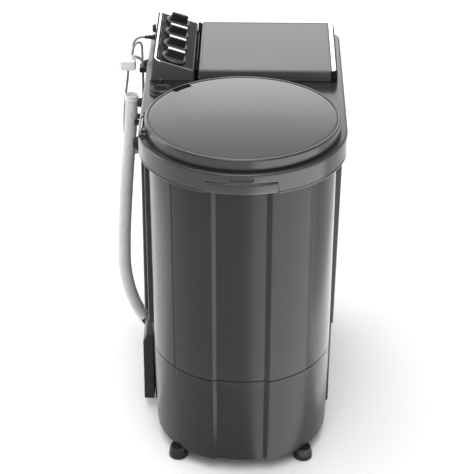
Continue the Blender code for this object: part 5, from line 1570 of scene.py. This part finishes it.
def make_lint_filter():
    """A slim cage with a window of fine net and a thumb tab at its top."""
    low, high = own_box("lint_filter")
    x0, x1 = low.x + 0.010, high.x - 0.010
    z0, z1 = low.z + 0.012, high.z - 0.030
    parts = [(block(low, high, 0.0030, 3), PP_TUB)]
    # A black sheet behind the net: painted shade for the filter's dark inside.
    parts.append((block((x0, low.y - 0.0002, z0), (x1, low.y + 0.001, z1), 0.0002, 1), RUBBER_AND_PAINTED_SHADE))
    y, thin = low.y + 0.0002, 0.00055
    for i in range(9):
        x = between(x0, x1, (i + 0.5) / 9)
        parts.append((rod((x, y, z0), (x, y, z1), thin, 8), PP_TUB))
    for i in range(16):
        z = between(z0, z1, (i + 0.5) / 16)
        parts.append((rod((x0, y, z), (x1, y, z), thin, 8), PP_TUB))
    tab = block((low.x + 0.018, low.y, high.z - 0.020), (high.x - 0.018, low.y + 0.003, high.z - 0.008), 0.0012)
    parts.append((tab, PRINT_GREY))
    for shape, _ in parts:
        for v in shape.verts:
            v.co.y = max(v.co.y, low.y)
    return piece("lint_filter_cage", settled(parts), "lint_filter", ["lint_filter"], sharp=40)


make_wash_tub()
make_pulsator()
make_lint_filter()

# ------------------------------------------------------------------ spinner
basket_low, basket_high = own_box("spin_basket")
BASKET_R = (basket_high.x - basket_low.x) / 2
MOUTH_Z = basket_high.z
spin_tub_low, spin_tub_high = own_box("spin_tub")
TUB_WALL = 0.0028
BASKET_FLOOR = spin_tub_low.z + TUB_WALL + 0.017
BASKET_STEPS = 72
HOLE_PITCH = 0.0118


def make_basket():
    """A drawn steel drum with staggered round holes, a rolled lip and a plastic cone in its floor. The holes
    are shallow dents painted black, as painted shade.
    """
    wall_z = [BASKET_FLOOR + 0.014 + i * HOLE_PITCH for i in range(27)]
    inner = BASKET_R - 0.0015
    profile = [
        (0.034, BASKET_FLOOR + 0.0008), (BASKET_R - 0.012, BASKET_FLOOR + 0.0006),
        (BASKET_R - 0.0045, BASKET_FLOOR + 0.0035),
        (inner, BASKET_FLOOR + 0.0100), *[(inner, z) for z in wall_z], (inner, MOUTH_Z - 0.014),
        (inner - 0.0030, MOUTH_Z - 0.0075), (BASKET_R - 0.0110, MOUTH_Z - 0.0022),
        (BASKET_R - 0.0098, MOUTH_Z - 0.0003),
        (BASKET_R - 0.0070, MOUTH_Z), (BASKET_R - 0.0040, MOUTH_Z - 0.0030), (BASKET_R, MOUTH_Z - 0.0120),
        (BASKET_R, BASKET_FLOOR + 0.0090), (BASKET_R - 0.0090, BASKET_FLOOR - 0.0010),
        (0.034, BASKET_FLOOR - 0.0010),
    ]
    shape = turned(profile, BASKET_STEPS, closed=True)
    shape.normal_update()
    picked = []
    for face in shape.faces:
        face.tag = False
        middle = face.calc_center_median()
        upright = inner - 0.0006 < middle.xy.length < inner and abs(face.normal.z) < 0.1
        if not (upright and wall_z[0] < middle.z < wall_z[-1]):
            continue
        share = (math.atan2(middle.y, middle.x) % (2 * math.pi)) / (2 * math.pi)
        column, row = round(share * BASKET_STEPS - 0.5), round((middle.z - wall_z[0]) / HOLE_PITCH - 0.5)
        if (column + row) % 3 == 0:
            picked.append(face)
    # The hole faces are dented a little and painted black: painted shade in place of openings.
    bmesh.ops.inset_individual(shape, faces=picked, thickness=0.0022, depth=-0.0004, use_even_offset=True)
    for face in picked:
        face.tag = True
    cone = [
        (0, BASKET_FLOOR + 0.030), (0.012, BASKET_FLOOR + 0.0296), (0.019, BASKET_FLOOR + 0.0280),
        (0.023, BASKET_FLOOR + 0.0240),
        (0.027, BASKET_FLOOR + 0.0140), (0.033, BASKET_FLOOR + 0.0050), (0.042, BASKET_FLOOR + 0.0020),
        (0.044, BASKET_FLOOR + 0.0004),
        (0.030, BASKET_FLOOR - 0.0012), (0.0125, BASKET_FLOOR - 0.0014), (0.0065, BASKET_FLOOR - 0.0058),
        (0.0065, basket_low.z),
        (0, basket_low.z),
    ]
    parts = [(shape, STAINLESS, RUBBER_AND_PAINTED_SHADE), (turned(cone, 64), ZINC)]
    settled(parts, SPIN_AT.x, SPIN_AT.y)
    return piece("basket_drum", parts, "spin_basket", ["spin_basket"], sharp=40)


def make_mat():
    """The perforated disc that is pressed down on the laundry before spinning."""
    low, high = own_box("spin_safety_mat")
    r, z0, z1 = (high.x - low.x) / 2, low.z, high.z
    rings = [
        (0.0145, z0), (0.0145, z1 - 0.0006), (0.0155, z1), (0.020, z1), (0.0210, z1 - 0.0008),
        (0.050, z1 - 0.0008),
        (0.0510, z1), (0.0540, z1), (0.0550, z1 - 0.0008), (r - 0.0060, z1 - 0.0008), (r - 0.0050, z1),
        (r - 0.0010, z1),
        (r, z1 - 0.0008), (r, z0 + 0.0004), (r - 0.0006, z0),
    ]
    parts = [(turned(rings, 72, closed=True), PP_TUB)]
    for radius, count in ((0.030, 10), (0.042, 14), (0.066, 20), (0.080, 24), (0.094, 28)):
        if radius > r - 0.008:
            continue
        for i in range(count):
            # Each hole is a flat black disc at the mat's top: painted shade in place of an opening.
            hole = rod((radius, 0, z1 - 0.0016), (radius, 0, z1 - 0.0006), 0.0036, 12)
            parts.append((about_z(hole, 2 * math.pi * i / count), RUBBER_AND_PAINTED_SHADE))
    settled(parts, SPIN_AT.x, SPIN_AT.y)
    body = body_name("spin_safety_mat")
    return piece("safety_mat", parts, body, ["spin_safety_mat"], sharp=40)


def make_spin_tub():
    low, high = spin_tub_low, spin_tub_high
    top, floor_z = high.z, low.z + TUB_WALL
    r = (high.x - low.x) / 2 - 0.008
    profile = [
        (0.030, floor_z), (0.080, floor_z + 0.0002), (r - 0.022, floor_z + 0.0010),
        (r - 0.0100, floor_z + 0.0050),
        (r - 0.0045, floor_z + 0.0130), (r - 0.0036, floor_z + 0.022), (r - 0.0004, top - 0.008),
        (r + 0.0016, top - 0.0006),
        (r + 0.0072, top), (r + 0.0080, top - 0.0034), (r + 0.0060, top - 0.0040), (r + 0.0028, top - 0.0044),
        (r - 0.0014, floor_z + 0.016), (r - 0.0190, floor_z - 0.0026), (0.030, floor_z - 0.0028),
    ]
    shape = at(turned(profile, 96, closed=True), SPIN_AT.x, SPIN_AT.y)
    return piece("spin_tub_shell", [(shape, PP_TUB)], replaces=["spin_tub"], sharp=50)


def body_name(node_name):
    return body_of(frame["nodes"][node_name])[0]


def make_bellows():
    """The rubber boot round the spinner's shaft, folded so that the motor can sway."""
    low, high = own_box("bellows_seal")
    top, r = high.z, (high.x - low.x) / 2
    bore = 0.0085
    profile = [
        (bore, top - 0.0020), (0.020, top - 0.0008), (r - 0.003, top), (r, top - 0.0008), (r, top - 0.0036),
        (r - 0.002, top - 0.0042),
    ]
    for i in range(3):
        z = top - 0.0085 - i * 0.0095
        profile += [
            (0.0235, z), (0.0222, z - 0.0012), (0.0235, z - 0.0024), (0.0275, z - 0.0042),
            (0.0285, z - 0.0052), (0.0275, z - 0.0062),
        ]
    profile += [(0.0185, top - 0.0380), (0.0180, low.z + 0.002), (0.0172, low.z), (bore, low.z)]
    shape = at(turned(profile, 56, closed=True), SPIN_AT.x, SPIN_AT.y)
    body = body_name("bellows_seal")
    return piece("bellows_boot", [(shape, RUBBER_AND_PAINTED_SHADE)], body, ["bellows_seal"], sharp=50)


def make_spin_motor():
    """The finned motor can under the spinner, on three arms, with its end cap and brake plate."""
    high = own_box("spin_motor")[1]
    z0, z1 = 0.072, 0.205
    r = 0.060
    profile = [
        (0, z1), (r + 0.0120, z1), (r + 0.0140, z1 - 0.0008), (r + 0.0140, z1 - 0.0034),
        (r + 0.0125, z1 - 0.0040),
        (r - 0.0060, z1 - 0.0042), (r - 0.0020, z1 - 0.0080), (r - 0.0010, z1 - 0.0140),
    ]
    for i in range(7):
        z = z1 - 0.022 - i * 0.012
        profile += [(r - 0.0010, z + 0.0022), (r, z + 0.0012), (r, z - 0.0018), (r - 0.0010, z - 0.0028)]
    profile += [
        (r - 0.0010, z0 + 0.014), (r - 0.0040, z0 + 0.0080), (r - 0.0160, z0 + 0.0006), (r - 0.0180, z0),
        (0, z0),
    ]
    parts = [(turned(profile, 72), CAST)]
    for i in range(3):
        turn = 2 * math.pi * i / 3 + math.pi / 6
        arm = block((r - 0.008, -0.0125, 0.100), (r + 0.0368, 0.0125, 0.106), 0.0020, 3)
        web = block((r - 0.006, -0.0020, 0.1055), (r + 0.0200, 0.0020, 0.1180), 0.0010)
        for shape in (arm, web):
            parts.append((about_z(shape, turn), CAST))
    for i in range(4):
        turn = 2 * math.pi * i / 4 + 0.5
        bolt = rod((r + 0.0070, 0, z1 - 0.0072), (r + 0.0070, 0, z1 - 0.0040), 0.0034, 6, edge=0.0004)
        parts.append((about_z(bolt, turn), ZINC))
    post = rod((0.055, 0.040, z1 - 0.001), (0.055, 0.040, high.z), 0.003, 20, edge=0.0005)
    parts.append((post, ZINC))
    settled(parts, SPIN_AT.x, SPIN_AT.y)
    return piece("motor_can", parts, body_name("spin_motor"), ["spin_motor"], sharp=40)


make_basket()
make_mat()
make_spin_tub()
make_bellows()
make_spin_motor()

# ------------------------------------------------------------------ the nodes that stay as they are
BLACK_OXIDE = finish("black_oxide_steel", "1c1c1e", 0.48, grain=0.0008, relief=0.04, metal=1.0)
WIRE = finish("spring_steel_wire", "9b9da0", 0.32, grain=0.0008, relief=0.04, metal=1.0)
KEPT = {
    "gearbox": CAST, "wash_motor": CAST, "brake_drum": CAST, "wash_timer": PP_TUB, "spin_timer": PP_TUB,
    "wash_pulley": ZINC, "motor_pulley": ZINC, "brake_lever": ZINC, "wash_lid_pin": WIRE,
    "spin_lid_pin": BLACK_OXIDE,
    "spin_spring_1": WIRE, "spin_spring_2": WIRE, "spin_spring_3": WIRE, "drive_belt": RUBBER_AND_PAINTED_SHADE,
    "drain_valve": PP_TUB, "valve_plunger": RUBBER_AND_PAINTED_SHADE, "hose_outlet": RUBBER_AND_PAINTED_SHADE,
}
for name, look in KEPT.items():
    for hold in frame["nodes"][name].material_slots:
        hold.material = look

# ------------------------------------------------------------------ floor, light and background
FLOOR_PAINT = finish(
    "matt_painted_floor", "fafafa", 0.85, grain=0.004, relief=0.02, cloud=0.6, tint=0.004, wear_and_edge_highlight=0.0
)
FLOOR_R = 14.0


def make_floor():
    shape = bmesh.new()
    bmesh.ops.create_circle(shape, cap_ends=True, segments=96, radius=FLOOR_R)
    mesh = bpy.data.meshes.new("floor")
    shape.to_mesh(mesh)
    shape.free()
    mesh.materials.append(FLOOR_PAINT)
    made = bpy.data.objects.new("floor", mesh)
    bpy.context.scene.collection.objects.link(made)


def area_light(name, place, aim, wide, tall, power):
    lamp = bpy.data.lights.new(name, "AREA")
    lamp.shape = "RECTANGLE"
    lamp.size = wide
    lamp.size_y = tall
    lamp.energy = power
    made = bpy.data.objects.new(name, lamp)
    bpy.context.scene.collection.objects.link(made)
    place, aim = Vector(place), Vector(aim)
    turn = (place - aim).to_track_quat("Z", "Y").to_matrix().to_4x4()
    made.matrix_world = Matrix.Translation(place) @ turn
    return made


make_floor()
MIDDLE = (WASH_X + 0.1, CENTRE_Y, 0.45)
FRONT = (WASH_X, CENTRE_Y, 0.45)


def card(name, azimuth, spread, distance, z0, z1, radiance):
    """A soft upright card round the machine: azimuth from the near end (-X) towards the front (-Y),
    in degrees."""
    turn = math.radians(azimuth)
    x = FRONT[0] - distance * math.cos(turn)
    y = FRONT[1] - distance * math.sin(turn)
    wide = 2 * distance * math.tan(math.radians(spread / 2))
    tall = z1 - z0
    middle = (z0 + z1) / 2
    power = radiance * math.pi * wide * tall
    lamp = area_light(name, (x, y, middle), (FRONT[0], FRONT[1], middle), wide, tall, power)
    lamp.visible_camera = False
    return lamp


def floor_panel(name, azimuth, near, long, start, wide, radiance):
    """A light panel lying on the floor: it starts near metres out along the azimuth and spreads sideways."""
    turn = math.radians(azimuth)
    out = Vector((-math.cos(turn), -math.sin(turn), 0))
    side = Vector((math.sin(turn), -math.cos(turn), 0))
    place = Vector((WASH_X, CENTRE_Y, 0.004)) + out * (near + long / 2) + side * (start + wide / 2)
    lamp = area_light(name, place, place + UP, long, abs(wide), radiance * math.pi * long * abs(wide))
    lamp.matrix_world = Matrix.Translation(place) @ Matrix((out, side, out.cross(side))).transposed().to_4x4()
    if out.cross(side).z > 0:
        lamp.matrix_world = lamp.matrix_world @ Matrix.Rotation(math.pi, 4, "X")
    lamp.visible_camera = False
    return lamp


area_light("overhead", (0.3, 0.0, 4.0), MIDDLE, 3.4, 3.4, 95)
area_light("front_fill", (-2.6, 0.0, 3.6), (-0.7, 0.0, 0.0), 2.4, 2.4, 60)
card("left_card", -102, 26, 1.7, 0.3, 2.2, 2.6)
floor_panel("right_panel", 12, 0.20, 2.2, 0.0, 2.0, 2.2)
floor_panel("right_edge_panel", 90, 0.30, 0.45, 0.0, 1.6, 1.3)
floor_panel("left_panel", -94, 0.02, 1.2, -0.05, -1.2, 0.6)
back_light = area_light("behind_low", (4.2, 1.3, 1.5), (0.0, 1.3, 1.5), 4.2, 2.7, 75)
back_light.visible_camera = False

world = bpy.data.worlds.new("studio")
bpy.context.scene.world = world
world.use_nodes = True
sky = world.node_tree
backdrop = sky.nodes["Background"]
heading = node(sky, "ShaderNodeTexCoord").outputs["Generated"]
height = node(sky, "ShaderNodeSeparateXYZ", {0: heading}).outputs["Z"]
sky.links.new(ranged(sky, height, 0.85, 0.42, 0.30, 0.60), backdrop.inputs["Strength"])
backdrop.inputs["Color"].default_value = (1, 1, 1, 1)
bpy.context.scene.view_settings.view_transform = "Standard"
